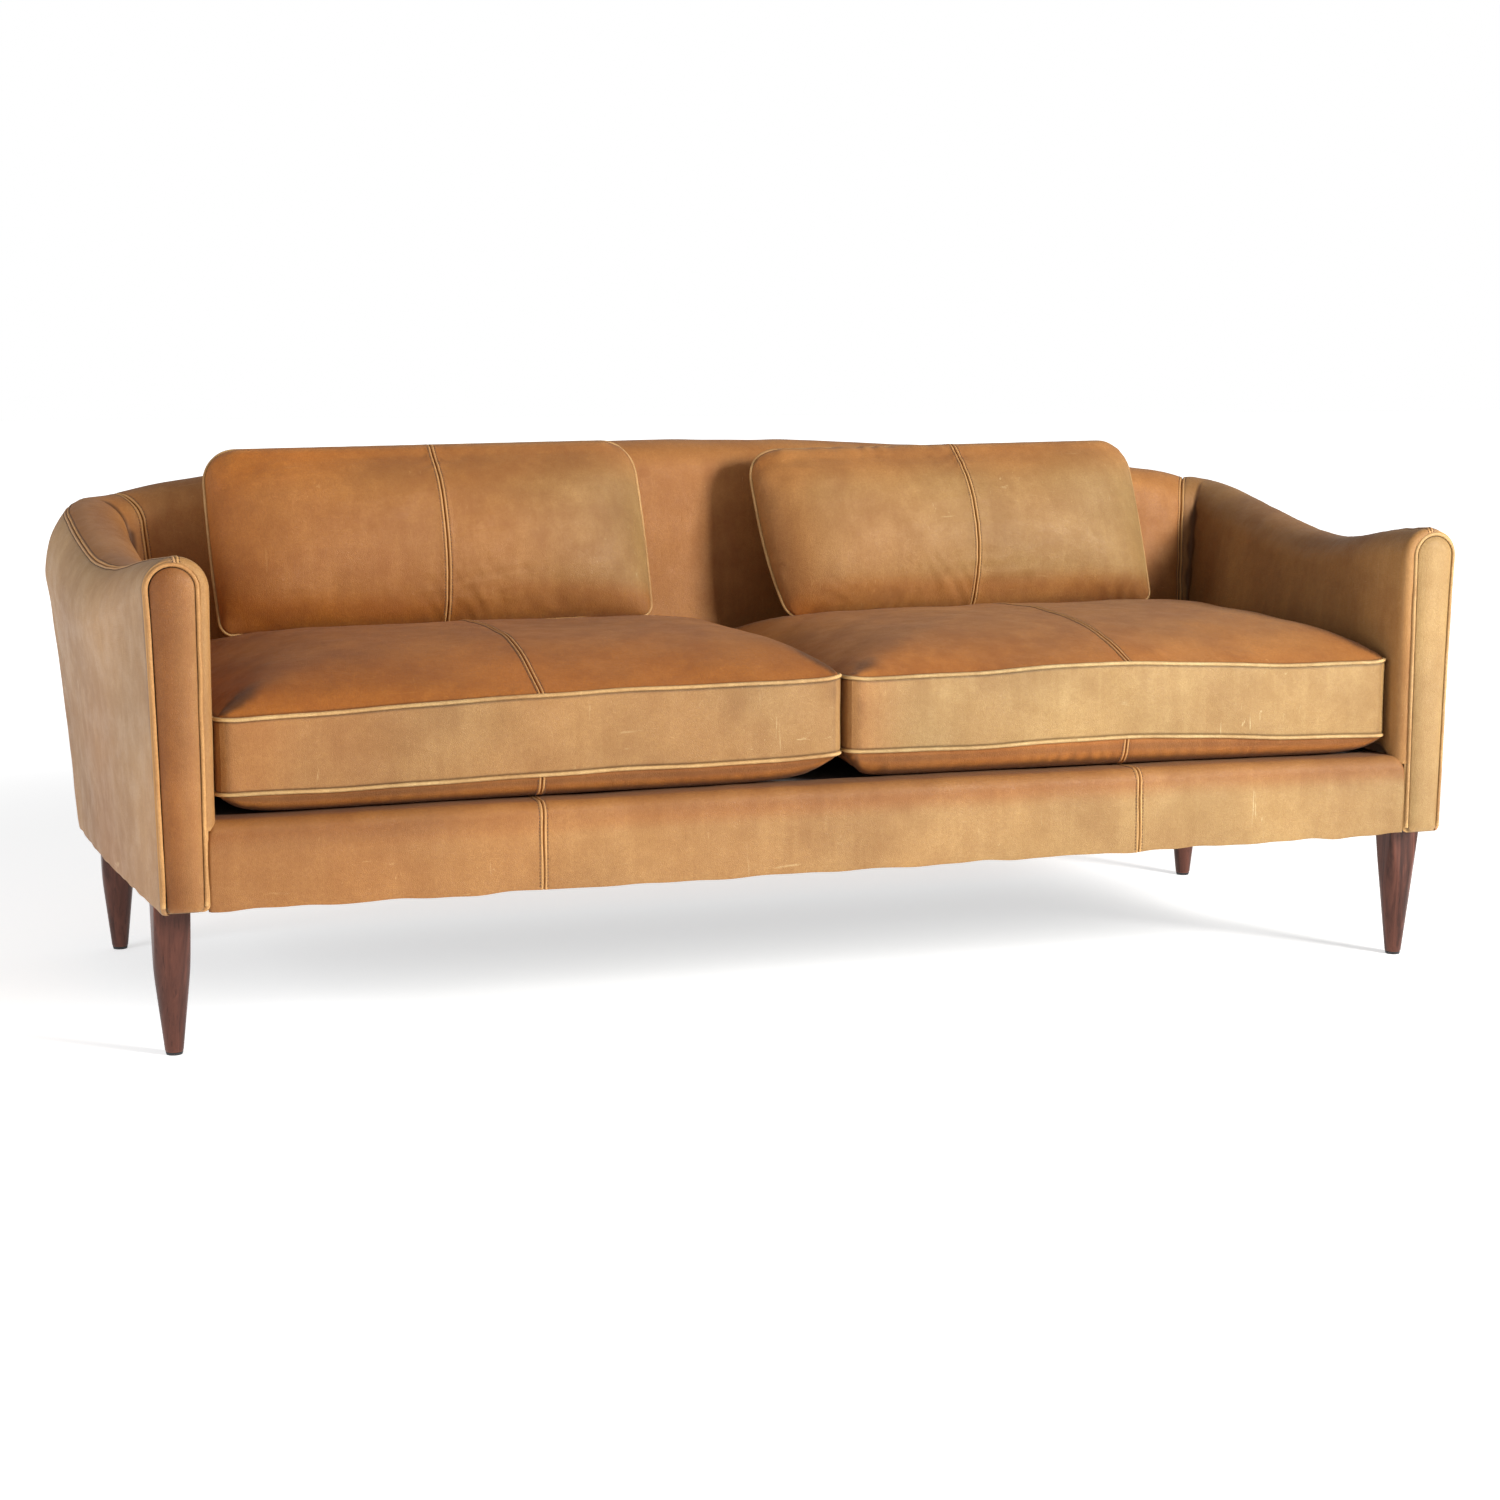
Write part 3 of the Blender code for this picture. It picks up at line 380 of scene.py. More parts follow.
def solid(name, points, faces, stuff, sharp=None, wear_and_shade_depth=None):
    """A smooth shaded mesh object; the last argument is how far a point stands proud to turn fully
    pale with rubbing, and how far it lies sunk to take full painted crease shade.
    """
    mesh = outward_mesh(name, points, faces)
    mesh.shade_smooth()
    if sharp is not None:
        mesh.set_sharp_from_angle(angle=radians(sharp))
    thing = bpy.data.objects.new(name, mesh)
    bpy.context.scene.collection.objects.link(thing)
    mesh.materials.append(stuff)
    if wear_and_shade_depth is not None:
        mark_wear_and_crease_shade(mesh, wear_and_shade_depth)
    return thing


def coordinates(mesh, kind="co"):
    flat = np.empty(len(mesh.vertices) * 3)
    mesh.vertices.foreach_get(kind, flat)
    return flat.reshape(-1, 3)


def normals(mesh):
    return coordinates(mesh, "normal")


WELT_WEAR_AND_SHADE_DEPTH = 0.0012        # how far a welt's points stand proud to turn fully pale, and lie sunk to take full painted crease shade
EDGE_WEAR = 0.30          # how readily an edge goes pale, against how readily a valley takes painted crease shade
WEAR_AND_SHADE_ROUNDS = 5           # how far around a point its surroundings reach, in edges


def mark_wear_and_crease_shade(mesh, full):
    """Keeps in a point attribute how far each point stands proud of its surroundings, as a share of
    full: proud edges go pale, sunk valleys get painted crease shade.
    """
    points = coordinates(mesh)
    flat = np.empty(len(mesh.edges) * 2, int)
    mesh.edges.foreach_get("vertices", flat)
    first, second = flat.reshape(-1, 2).T
    count = len(points)
    ends = np.concatenate([first, second])
    others = np.concatenate([second, first])
    near = np.bincount(ends, minlength=count)
    level = points
    for _ in range(WEAR_AND_SHADE_ROUNDS):
        level = np.stack([np.bincount(ends, level[others, axis], count) for axis in range(3)], -1)
        level /= near[:, None]
    proud = np.einsum("ij,ij->i", points - level, normals(mesh)) / full
    set_attribute(mesh, "wear_and_crease_shade", np.clip(np.where(proud > 0, proud * EDGE_WEAR, proud), -1.0, 1.0))


def set_attribute(mesh, name, values):
    layer = mesh.attributes.new(name, "FLOAT", "POINT")
    layer.data.foreach_set("value", np.asarray(values, np.float32))


def tint(piece, values, dim=0.0):
    """Gives every point a colour shift, from -1 for deep and red to 1 for pale and golden, and a
    dimming; these mostly paint in light and shade, with a little random drift and patchiness added.
    """
    count = len(piece.data.vertices)
    drift = 0.05 * ripple(coordinates(piece.data), 0.30, 31)
    shade = 0.05 + 0.05 * ripple(coordinates(piece.data), 0.20, 47)
    set_attribute(piece.data, "tone_and_light", np.clip(np.broadcast_to(values, count) + drift, -1.0, 1.0))
    set_attribute(piece.data, "dim", np.clip(np.broadcast_to(dim, count) + shade, 0.0, 1.0))


def settle(piece, body, slot, *nodes):
    """The piece rides on the body and stands for the nodes, which it hides; the slot is not used.
    """
    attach(piece, body)
    if nodes:
        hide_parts(*nodes)
    return piece


NEAR_SEAM = (0.0, 0.0005, 0.0011, 0.0018, 0.0027, 0.0036, 0.0044, 0.0050, 0.0056, 0.0066, 0.0082,
             0.0105, 0.0140)


def ruled(length, marks, step):
    """Places from 0 to length at most a step apart, close together beside each mark."""
    places = {0.0, round(length, 6)}
    for mark in marks:
        for away in NEAR_SEAM:
            places |= {round(p, 6) for p in (mark - away, mark + away) if 0.0 <= p <= length}
    places = sorted(places)
    filled = [0.0]
    for low, high in zip(places, places[1:]):
        count = max(1, ceil((high - low) / step))
        filled += [low + (high - low) * k / count for k in range(1, count + 1)]
    return np.array(filled)


def run_lengths(points):
    """Distance along each line of a (count, ..., 3) array from its start."""
    steps = np.linalg.norm(np.diff(points, axis=0), axis=-1)
    start = np.zeros_like(steps[:1])
    return np.concatenate([start, np.cumsum(steps, axis=0)])


def fold_profile(away, radius):
    """How deep a turned leather edge sinks, away from the edge."""
    inside = np.clip(radius - away, 0.0, radius)
    return -(radius - np.sqrt(np.maximum(radius * radius - inside * inside, 0.0)))


STITCH_AWAY = 0.0056
RIDGE_AWAY = 0.0027       # the soft swell between a seam and its stitches
RIDGE_WIDTH = 0.0015


def stitch_valley(away):
    """The sunk line under a row of topstitching, and the soft swell between it and the seam."""
    return (0.00115 * hump(away, RIDGE_AWAY, 0.0014)
            - 0.00050 * hump(away, STITCH_AWAY, 0.0009))


def seam_valley(away, depth=0.0026):
    """A sewn seam with a topstitched row on either side, away from the seam."""
    return stitch_valley(away) - depth * hump(away, 0.0, 0.0010)


def rub_and_highlight(piece, away, twice=False):
    """Makes the ridges beside a seam pale, partly rubbing and partly a painted highlight on the
    swell; twice is for a sheet whose points come two by two.
    """
    amount = hump(np.ravel(away), RIDGE_AWAY, RIDGE_WIDTH)
    if twice:
        amount = np.tile(amount, 2)
    layer = piece.data.attributes["wear_and_crease_shade"]
    wear_and_crease_shade = np.empty(len(amount), np.float32)
    layer.data.foreach_get("value", wear_and_crease_shade)
    wear_and_crease_shade = np.clip(np.where(amount > 0.1, np.maximum(wear_and_crease_shade, 0.0) + amount, wear_and_crease_shade), -1.0, 1.0)
    layer.data.foreach_set("value", wear_and_crease_shade.astype(np.float32))


def puckers(points, run, pitch, seed):
    """Uneven little gathers along a seam, strong in some places and absent in others."""
    phase = tau * run / pitch + 5.0 * ripple(points, 0.10, seed)
    return np.sin(phase) * np.clip(0.40 + 0.9 * ripple(points, 0.15, seed + 1), 0.0, 1.2)


def gathers(points, run, pitch, seed, away, reach, start):
    """Puckers beside a seam: away from it they begin at start and fade over reach."""
    return puckers(points, run, pitch, seed) * fading(away, reach) * smooth(away / start)


def tube(path, radius, sides, closed=False, wobble=0.0, seed=0):
    """Points and quads of a tube along a path, with flat ends unless it closes on itself."""
    path = np.asarray(path, float)
    count = len(path)
    if closed:
        before, after = np.roll(path, 1, axis=0), np.roll(path, -1, axis=0)
    else:
        before = np.concatenate([path[:1], path[:-1]])
        after = np.concatenate([path[1:], path[-1:]])
    along = after - before
    along /= np.linalg.norm(along, axis=1)[:, None]
    side = np.cross(along[0], (0.31, 0.24, 0.92))
    sides_out = []
    for way in along:
        side = side - way * side.dot(way)
        side /= np.linalg.norm(side)
        sides_out.append(side)
    side = np.array(sides_out)
    if closed:
        first, last = side[0], side[-1]
        twist = np.arctan2(np.cross(last, first).dot(along[0]), last.dot(first))
        turn = twist * np.arange(count) / count
        up = np.cross(along, side)
        side = side * np.cos(turn)[:, None] + up * np.sin(turn)[:, None]
    up = np.cross(along, side)
    angles = tau * np.arange(sides) / sides
    size = radius * (1.0 + wobble * ripple(path, 0.03, seed))
    spokes = side[:, None] * np.cos(angles)[:, None] + up[:, None] * np.sin(angles)[:, None]
    points = path[:, None] + spokes * np.asarray(size)[:, None, None]
    faces = ring_faces(count, sides, closed)
    if not closed:
        faces += end_faces(count, sides)
    return points.reshape(-1, 3), faces


def gather(bodies):
    """Points and faces of several bodies as one list."""
    points, faces, start = [], [], 0
    for some_points, some_faces in bodies:
        points.append(np.asarray(some_points))
        faces += [tuple(int(i) + start for i in face) for face in some_faces]
        start += len(some_points)
    return np.concatenate(points), faces


def along_path(path, places):
    """Points of a path at the given distances from its start."""
    runs = run_lengths(path)
    return np.stack([np.interp(places, runs, path[:, axis]) for axis in range(3)], -1)


STITCH_PITCH = 0.0048
STITCH_LENGTH = 0.0030
STITCH_RADIUS = 0.00062


def stitches(path, out):
    """Bodies of a row of stitches along a path, lifted a little along out."""
    path = np.asarray(path, float) + np.asarray(out) * STITCH_RADIUS * 0.9
    length = run_lengths(path)[-1]
    starts = np.arange(STITCH_PITCH * 0.5, length - STITCH_PITCH, STITCH_PITCH)
    shares = np.array([0.0, 0.22, 0.78, 1.0])
    plumpness = np.array([0.35, 1.0, 1.0, 0.35])
    angles = tau * np.arange(5) / 5
    bodies = []
    faces = ring_faces(len(shares), len(angles)) + end_faces(len(shares), len(angles))
    for start in starts:
        centre = along_path(path, start + STITCH_LENGTH * shares)
        way = centre[-1] - centre[0]
        way /= np.linalg.norm(way)
        side = np.cross(way, (0.3, 0.5, 0.8))
        side /= np.linalg.norm(side)
        up = np.cross(way, side)
        ring = side * np.cos(angles)[:, None] + up * np.sin(angles)[:, None]
        points = centre[:, None] + ring * (plumpness * STITCH_RADIUS)[:, None, None]
        bodies.append((points.reshape(-1, 3), faces))
    return bodies


def add_stitches(name, rows, body):
    """One piece with every row of stitches; rows are (path, outward directions) pairs."""
    bodies = [stitch for path, out in rows for stitch in stitches(path, out)]
    piece = solid(name, *gather(bodies), thread)
    settle(piece, body, "leather_welt")
    return piece


# ---------------------------------------------------------------- the wrap: arms and back
def through(knots, at):
    """Cubic Hermite curve through (position, value) knots."""
    slopes = []
    for index in range(len(knots)):
        low = knots[max(0, index - 1)]
        high = knots[min(len(knots) - 1, index + 1)]
        slopes.append((high[1] - low[1]) / (high[0] - low[0]))
    at = min(knots[-1][0], max(knots[0][0], at))
    index = max(0, sum(1 for knot in knots[1:-1] if knot[0] <= at))
    (x0, y0), (x1, y1) = knots[index], knots[index + 1]
    span = x1 - x0
    t = (at - x0) / span
    rise = y0 + (y1 - y0) * t * t * (3 - 2 * t)
    return rise + span * t * (1 - t) * ((1 - t) * slopes[index] - t * slopes[index + 1])


def blend(first, second, share):
    return tuple(a + (b - a) * share for a, b in zip(first, second))


def station(s):
    """Turn angle, place, section and ridge: s is 0-1 up the arm, 1-2 round, 2-3 along the back."""
    if s <= 1.0:
        y = FRONT_Y + (TURN_Y - FRONT_Y) * s
        return 0.0, y, blend(ARM_FRONT, ARM_REAR, 1.0 - (1.0 - s) ** 1.5), through(ARM_RIDGE, y)
    if s >= 2.0:
        x = TURN_X * (3.0 - s)
        return pi / 2, x, BACK, through(BACK_RIDGE, x)
    ridge = ARM_RIDGE[-1][1] + (BACK_RIDGE[-1][1] - ARM_RIDGE[-1][1]) * (s - 1.0)
    return (s - 1.0) * pi / 2, 0.0, blend(ARM_REAR, BACK, float(smooth(s - 1.0))), ridge


def section(shape, ridge, v):
    """Distance out from the inner face and height at section places v from 0 to 4."""
    lean, inner, outer, inner_rise, outer_rise, foot = shape
    crown = lean + inner
    low_top = ridge - inner_rise
    z_in = INSIDE_BOTTOM + (low_top - INSIDE_BOTTOM) * v
    out_in = lean * np.clip((z_in - LEAN_START) / (low_top - LEAN_START), 0.0, 1.0) ** 1.5
    rise = (v - 1.0) * pi / 2
    fall = (3.0 - v) * pi / 2
    high_top = ridge - outer_rise
    w = np.clip(4.0 - v, 0.0, 1.0)
    swell = 0.55 * np.sin(pi / 2 * w) + 0.45 * w ** 4
    out = np.select(
        [v <= 1.0, v <= 2.0, v <= 3.0],
        [out_in, crown - inner * np.cos(rise), crown + outer * np.cos(fall)],
        foot + (crown + outer - foot) * swell)
    z = np.select(
        [v <= 1.0, v <= 2.0, v <= 3.0],
        [z_in, low_top + inner_rise * np.sin(rise), high_top + outer_rise * np.sin(fall)],
        COVER_BOTTOM + (high_top - COVER_BOTTOM) * w)
    return out, z


def wrap_line(side, s, v):
    """Points of the wrap's face at station s and section places v."""
    angle, place, shape, ridge = station(s)
    out, z = section(shape, ridge, v)
    out = out + CORNER_INSET
    c, n = cos(angle), sin(angle)
    if 0.0 < angle < pi / 2:
        square = 1.0 / max(c, n)
        rounded = (c ** 3.2 + n ** 3.2) ** (-1 / 3.2)
        out = out * (square + (rounded - square) * smooth((v - 1.0) / 2.0))
    if s <= 1.0:
        return np.stack([side * (TURN_X + out), np.full_like(z, place), z], -1)
    if s >= 2.0:
        return np.stack([np.full_like(z, side * place), TURN_Y + out, z], -1)
    return np.stack([side * (TURN_X + out * c), TURN_Y + out * n, z], -1)


def top_seam(s):
    """Section place of the seam between inside and outside leather."""
    return 2.0 + 0.30 * float(smooth(s / 0.7))


def inside_places(s, t):
    return t * top_seam(s)


def outside_places(s, t):
    return top_seam(s) + t * (4.0 - top_seam(s))


def wrap_grid(start, end, side, places, step, marks):
    """Grid of face points from station start to end; past 3 the stations run on on the far side.

    marks says which of the four edges (start, end, low, high) are seams with close lines."""
    def line(q, t):
        s, hand = (q, side) if q <= 3.0 else (6.0 - q, -side)
        return wrap_line(hand, s, places(s, t))

    def spaced(points, dense, wanted):
        runs = run_lengths(points)
        close = [runs[-1] * end for end in (0, 1) if wanted[end]]
        return np.interp(ruled(runs[-1], close, step), runs, dense)

    dense = np.linspace(start, end, 500)
    middle = np.array([line(q, np.array([0.55]))[0] for q in dense])
    stations = spaced(middle, dense, marks[:2])
    dense = np.linspace(0.0, 1.0, 500)
    shares = spaced(line((start + end) / 2, dense), dense, marks[2:])
    return np.array([line(q, shares) for q in stations])


def outward(grid):
    """Unit directions square to a grid of points."""
    rows = np.gradient(grid, axis=0)
    columns = np.gradient(grid, axis=1)
    square = np.cross(rows, columns)
    return square / np.maximum(np.linalg.norm(square, axis=-1), 1e-12)[..., None]


def edge_distances(grid):
    """Distance of each grid point from the four edges: start, end, low and high."""
    rows = run_lengths(grid)
    columns = run_lengths(grid.swapaxes(0, 1)).swapaxes(0, 1)
    return rows, rows[-1:] - rows, columns, columns[:, -1:] - columns


LEATHER_WALL = 0.0016


def walled(grid, out, thick=LEATHER_WALL):
    """Points and faces of a closed sheet between a grid and the same grid sunk along out."""
    rows, columns = grid.shape[:2]
    points = np.concatenate([grid.reshape(-1, 3), (grid - out * thick).reshape(-1, 3)])
    offset = rows * columns
    faces = [grid_quads(rows, columns), grid_quads(rows, columns, offset)]
    index = np.arange(offset).reshape(rows, columns)
    border = np.concatenate([index[0], index[1:, -1], index[-1, -2::-1], index[-2:0:-1, 0]])
    after = np.roll(border, -1)
    faces.append(np.stack([border, after, after + offset, border + offset], -1))
    return points, np.concatenate(faces)


def level_walled(grid, thick):
    """The same for a sheet that lies flat."""
    up = np.zeros_like(grid)
    up[..., 2] = 1.0
    return walled(grid, up, thick)


stitch_rows = []


def leather_panel(node, grid, stuff, centre, edges, stitched, creases=(), hem=None, pads=()):
    """A panel of the wrap with turned edges, topstitched rows, creases and soft waves.

    edges gives the fold radius at (start, end, low, high), or a pair for its low and high end;
    stitched lists the edges with a row, creases the sunk ones as (edge, depth). The panel stands
    for its CAD node and for the pads below it, and its rows join stitch_rows."""
    out = outward(grid)
    if np.median(np.einsum("ijk,ijk->ij", grid - centre, out)) < 0:
        out = -out
    away = edge_distances(grid)
    lift = 0.0011 * ripple(grid, 0.30, sum(map(ord, node)))
    lift += 0.00045 * ripple(grid, 0.085, 7 + len(node))
    calm = np.minimum.reduce(away)
    lift *= smooth(calm / 0.02)
    across = away[2] / (away[2] + away[3])
    for distance, radius in zip(away, edges):
        if isinstance(radius, tuple):
            radius = radius[0] + (radius[1] - radius[0]) * across ** 2
        lift += fold_profile(distance, radius)
    for edge in stitched:
        lift += stitch_valley(away[edge])
        run = away[0] if edge > 1 else away[2]
        lift += 0.00040 * gathers(grid, run, 0.0170, 21 + edge, away[edge], 0.011, 0.004)
        lift += 0.0006 * ripple(grid, 0.050, 5 + edge) * fading(away[edge], 0.035)
    for edge, amount in creases:
        lift -= amount * fading(away[edge], 0.008)
        lift += 0.30 * amount * ripple(grid, 0.050, 11) * fading(away[edge], 0.04)
    if hem is not None:
        tug = ripple(grid, 0.07, 3) * 0.0014
        grid = grid.copy()
        grid[..., 2] += tug * fading(away[hem], 0.03)
    shaped = grid + out * lift[..., None]
    piece = solid(node, *walled(shaped, out), stuff, wear_and_shade_depth=0.0016)
    for edge in stitched:
        rub_and_highlight(piece, away[edge], True)
        pick = np.argmin(np.abs(away[edge] - STITCH_AWAY), axis=1 if edge > 1 else 0)
        every = np.arange(len(pick))
        index = (every, pick) if edge > 1 else (pick, every)
        stitch_rows.append((shaped[index], out[index]))
    settle(piece, "frame", "leather_tan", node, *pads)
    return piece


ARM_END = 1.0 + SEAM_ANGLE / 90.0           # stations of the seams
REAR_END = 1.0 + REAR_SEAM_ANGLE / 90.0
WRAP_STEP = 0.0075
for word, side in SIDES:
    arm_middle = np.array([side * (INSIDE_X + 0.045), -0.1, 0.5])
    grid = wrap_grid(0.0, ARM_END, side, inside_places, WRAP_STEP, (True, True, False, True))
    tuck = 0.024 * smooth((-0.372 - grid[..., 1]) / 0.050)
    grid[..., 2] -= tuck * smooth(1.0 - (grid[..., 2] - INSIDE_BOTTOM) / 0.060)
    piece = leather_panel("inside_arm_cover_" + word, grid, hide("inside_arm_" + word), arm_middle,
                          ((0.0175, 0.0105), 0.003, 0.002, 0.0022), (1, 3),
                          creases=((1, 0.004),), pads=("arm_pad_" + word,))
    place = coordinates(piece.data)
    # Painted light and shade: each inside arm's front roll is paler and golden where the light
    # falls on it; further back the right inside arm, which faces away from the light, is dimmed as
    # shade and made a little more golden.
    inner = smooth((place[:, 1] + 0.35) / 0.1)
    tint(piece, 0.45 * (1 - inner) + 0.35 * (side > 0) * inner, 0.20 * (side > 0) * inner)
    grid = wrap_grid(0.0, REAR_END, side, outside_places, WRAP_STEP, (True, True, True, True))
    piece = leather_panel("outside_arm_cover_" + word, grid, hide("outside_arm_" + word, SIDE_HIDE),
                          arm_middle, ((0.0105, 0.0045), 0.002, 0.0022, 0.003), (2,), hem=3)
    # Painted light and reflection: the outside arm is paler and greyer, more so higher up, as
    # painted sheen of the light it catches, and less so where it turns towards the back. The dimmed
    # band about 11 mm behind the front edge is a painted shadow beside the facing's welt.
    _, y, z = coordinates(piece.data).T
    tone_and_light = (0.66 + 0.18 * (z - 0.25) / 0.45) * (1 - 0.85 * smooth((y - 0.28) / 0.13))
    tint(piece, tone_and_light, 0.50 * hump(y - FRONT_Y, 0.0110, 0.0025))

back_middle = np.array([0.0, INSIDE_Y + 0.08, 0.5])
grid = wrap_grid(ARM_END, 6.0 - ARM_END, 1, inside_places, WRAP_STEP, (True, True, False, True))
leather_panel("inside_back_cover", grid, hide("inside_back"), back_middle,
              (0.003, 0.003, 0.002, 0.0022), (0, 1, 3),
              creases=((0, 0.005), (1, 0.005)), pads=("back_pad",))
grid = wrap_grid(REAR_END, 6.0 - REAR_END, 1, outside_places, WRAP_STEP, (True, True, True, True))
leather_panel("outside_back_cover", grid, hide("outside_back"), back_middle,
              (0.002, 0.002, 0.0022, 0.003), (2,), hem=3)
add_stitches("wrap_stitches", stitch_rows, "frame")

# ---------------------------------------------------------------- arm facings and their welts
FACING_INNER = INSIDE_X + 0.0170      # x of the welt's line on the inner side
FACING_OUTER_INSET = 0.0032
FACING_ARCH_DROP = 0.0105
FACING_BULGE = 0.0085
FACING_FOOT_ROUND = 0.0090
FACING_EDGE_Y = -0.4358
FACING_WELT_Y = -0.4364
FACING_FLANGE = 0.0050
FACING_FLANGE_Y = (-0.4315, -0.4335, -0.4335)
WELT_RADIUS = 0.0028
SIDE_STEPS = 46
ARC_STEPS = 40
FOOT_STEPS = 6


def outer_side(z):
    """x of an arm's outer side at its front, at height z."""
    out, heights = section(ARM_FRONT, ARM_RIDGE[0][1], np.linspace(4.0, 3.0, 120))
    return INSIDE_X + float(np.interp(z, heights, out))


def facing_outline(inset, low):
    """An arm's front outline in x and z, from the foot up the outer side and down the inner one."""
    x0 = FACING_INNER + inset
    top = ARM_RIDGE[0][1] - FACING_ARCH_DROP - inset
    inset += FACING_OUTER_INSET
    half = (outer_side(top) - inset - x0) / 2
    spring = top - half
    bend = FACING_FOOT_ROUND
    foot_x = outer_side(low + bend) - inset
    outline = []
    for step in range(FOOT_STEPS):
        angle = radians(270 + 90 * step / (FOOT_STEPS - 1))
        outline.append((foot_x - bend * (1 - cos(angle)), low + bend * (1 + sin(angle))))
    for step in range(1, SIDE_STEPS):
        z = low + bend + (spring - low - bend) * step / SIDE_STEPS
        outline.append((outer_side(z) - inset, z))
    for step in range(ARC_STEPS + 1):
        angle = pi * step / ARC_STEPS
        outline.append((x0 + half + half * cos(angle), spring + half * sin(angle)))
    for step in range(1, SIDE_STEPS):
        outline.append((x0, spring + (low + bend - spring) * step / SIDE_STEPS))
    for step in range(FOOT_STEPS):
        angle = radians(180 + 90 * step / (FOOT_STEPS - 1))
        outline.append((x0 + bend * (1 + cos(angle)), low + bend * (1 + sin(angle))))
    return np.array(outline)


def facing_spine(flat):
    """The nearest points of the line up the middle of a facing."""
    half = (flat[:, 0].max() - flat[:, 0].min()) / 2
    z = np.clip(flat[:, 1], flat[:, 1].min() + half * 0.8, flat[:, 1].max() - half)
    right = np.array([outer_side(height) for height in z]) - FACING_OUTER_INSET
    return np.stack([(flat[:, 0].min() + right) / 2, z], -1)


def upright(flat, side, y):
    """An outline in x and z as points at this y, on this side."""
    return np.stack([side * flat[:, 0], np.full(len(flat), y), flat[:, 1]], -1)


FACING_RINGS = (0.0, 0.02, 0.05, 0.09, 0.15, 0.23, 0.33, 0.45, 0.60, 0.77, 0.96)
for word, side in SIDES:
    rings = []
    for inset, y in zip((-FACING_FLANGE, -FACING_FLANGE, 0.0015), FACING_FLANGE_Y):
        rings.append(upright(facing_outline(inset, COVER_BOTTOM + 0.001), side, y))
    border = facing_outline(0.0020, COVER_BOTTOM + 0.0008)
    spine = facing_spine(border)
    for share in FACING_RINGS:
        flat = border + (spine - border) * share
        depth = FACING_BULGE * (1 - (1 - share) ** 3.0)
        depth += fold_profile(np.array(share * 0.03), 0.0022)
        ring = upright(flat, side, FACING_EDGE_Y - depth)
        ring[:, 1] += 0.0005 * ripple(ring, 0.06, 4 + side) * smooth(share / 0.3)
        rings.append(ring)
    rings = np.array(rings)
    ring_size = rings.shape[1]
    faces = ring_faces(len(rings), ring_size)
    for start in (0, (len(rings) - 1) * ring_size):
        for k in range(ring_size // 2):
            end = start + ring_size - 1 - k
            faces.append(tuple(dict.fromkeys((start + k, start + k + 1, end - 1, end))))
    piece = solid("arm_facing_" + word, rings.reshape(-1, 3), faces, hide("facing_" + word),
                  wear_and_shade_depth=0.0012)
    settle(piece, "frame", "leather_tan", "arm_facing_" + word)
    # Painted light and shade: the right facing is paler and golden where the light falls; the left
    # facing grows deeper, redder and dimmer towards its outer side, further from the light. The
    # dimmed rings just inside the welt are a painted shadow beside it.
    x = np.abs(coordinates(piece.data)[:, 0])
    turned = smooth((x - FACING_X[0] - 0.006) / 0.052) * (side < 0)
    painted_welt_shadow = [0.0, 0.0, 0.0] + [0.5 * (0.01 < share < 0.07) for share in FACING_RINGS]
    tint(piece, 0.36 + 0.64 * (side > 0) - 1.15 * turned,
         0.05 + 0.40 * turned + np.repeat(painted_welt_shadow, ring_size))
    flat = facing_outline(0.0, COVER_BOTTOM - FACING_FOOT_ROUND)
    flat = flat[flat[:, 1] > COVER_BOTTOM + 0.0012]
    path = upright(flat, side, FACING_WELT_Y)
    path[:, :2] += 0.0004 * ripple(path, 0.07, 9)[:, None]
    piece = solid("facing_welt_" + word, *tube(path, WELT_RADIUS, 12, False, 0.05, 3),
                  welt_hide("facing_" + word), wear_and_shade_depth=WELT_WEAR_AND_SHADE_DEPTH)
    settle(piece, "frame", "leather_welt", "facing_welt_" + word)
    # Painted light: the right welt is paler, where the light falls.
    tint(piece, 0.1 + 0.4 * (side > 0))

# ---------------------------------------------------------------- front rail cover
RAIL_FOLD = 0.020
RAIL_CORNER = 0.014
RAIL_END = 0.9242


def rail_drop(x):
    """How far the seats press the top of the rail's cover down."""
    return 0.0042 + 0.0040 * (x / RAIL_END) ** 2


rail_profile = [(FRONT_Y, COVER_BOTTOM), (FRONT_Y, RAIL_COVER_TOP - RAIL_FOLD)]
for step in range(1, 9):
    angle = radians(180 - 90 * step / 8)
    rail_profile.append((FRONT_Y + RAIL_FOLD + RAIL_FOLD * cos(angle),
                         RAIL_COVER_TOP - RAIL_FOLD + RAIL_FOLD * sin(angle)))
rail_profile.append((RAIL_COVER_BACK, RAIL_COVER_TOP - 0.001))
rail_profile = np.array([(0.0, y, z) for y, z in rail_profile])
profile_runs = run_lengths(rail_profile)
line = along_path(rail_profile, ruled(profile_runs[-1], [0.0], 0.005))
rail_marks = [RAIL_END + x for x in RAIL_SEAMS] + [0.0, 2 * RAIL_END]
rail_x = ruled(2 * RAIL_END, rail_marks, WRAP_STEP) - RAIL_END
grid = np.array([line + (x, 0.0, 0.0) for x in rail_x])
out = outward(grid)
if out[0, 0, 1] > 0:
    out = -out
away = edge_distances(grid)
x = grid[..., 0]
lift = 0.0008 * ripple(grid, 0.30, 41) + 0.0004 * ripple(grid, 0.08, 42)
lift += fold_profile(away[0], 0.005) + fold_profile(away[1], 0.005)
lift += 0.0014 * hump(away[2], 0.065, 0.035)
for seam in RAIL_SEAMS:
    wander = seam + 0.0008 * np.sin(grid[..., 2] * 60)
    beside = np.abs(x - wander)
    lift += seam_valley(beside)
    lift += 0.0005 * gathers(grid, away[2], 0.018, 44, beside, 0.012, 0.004)
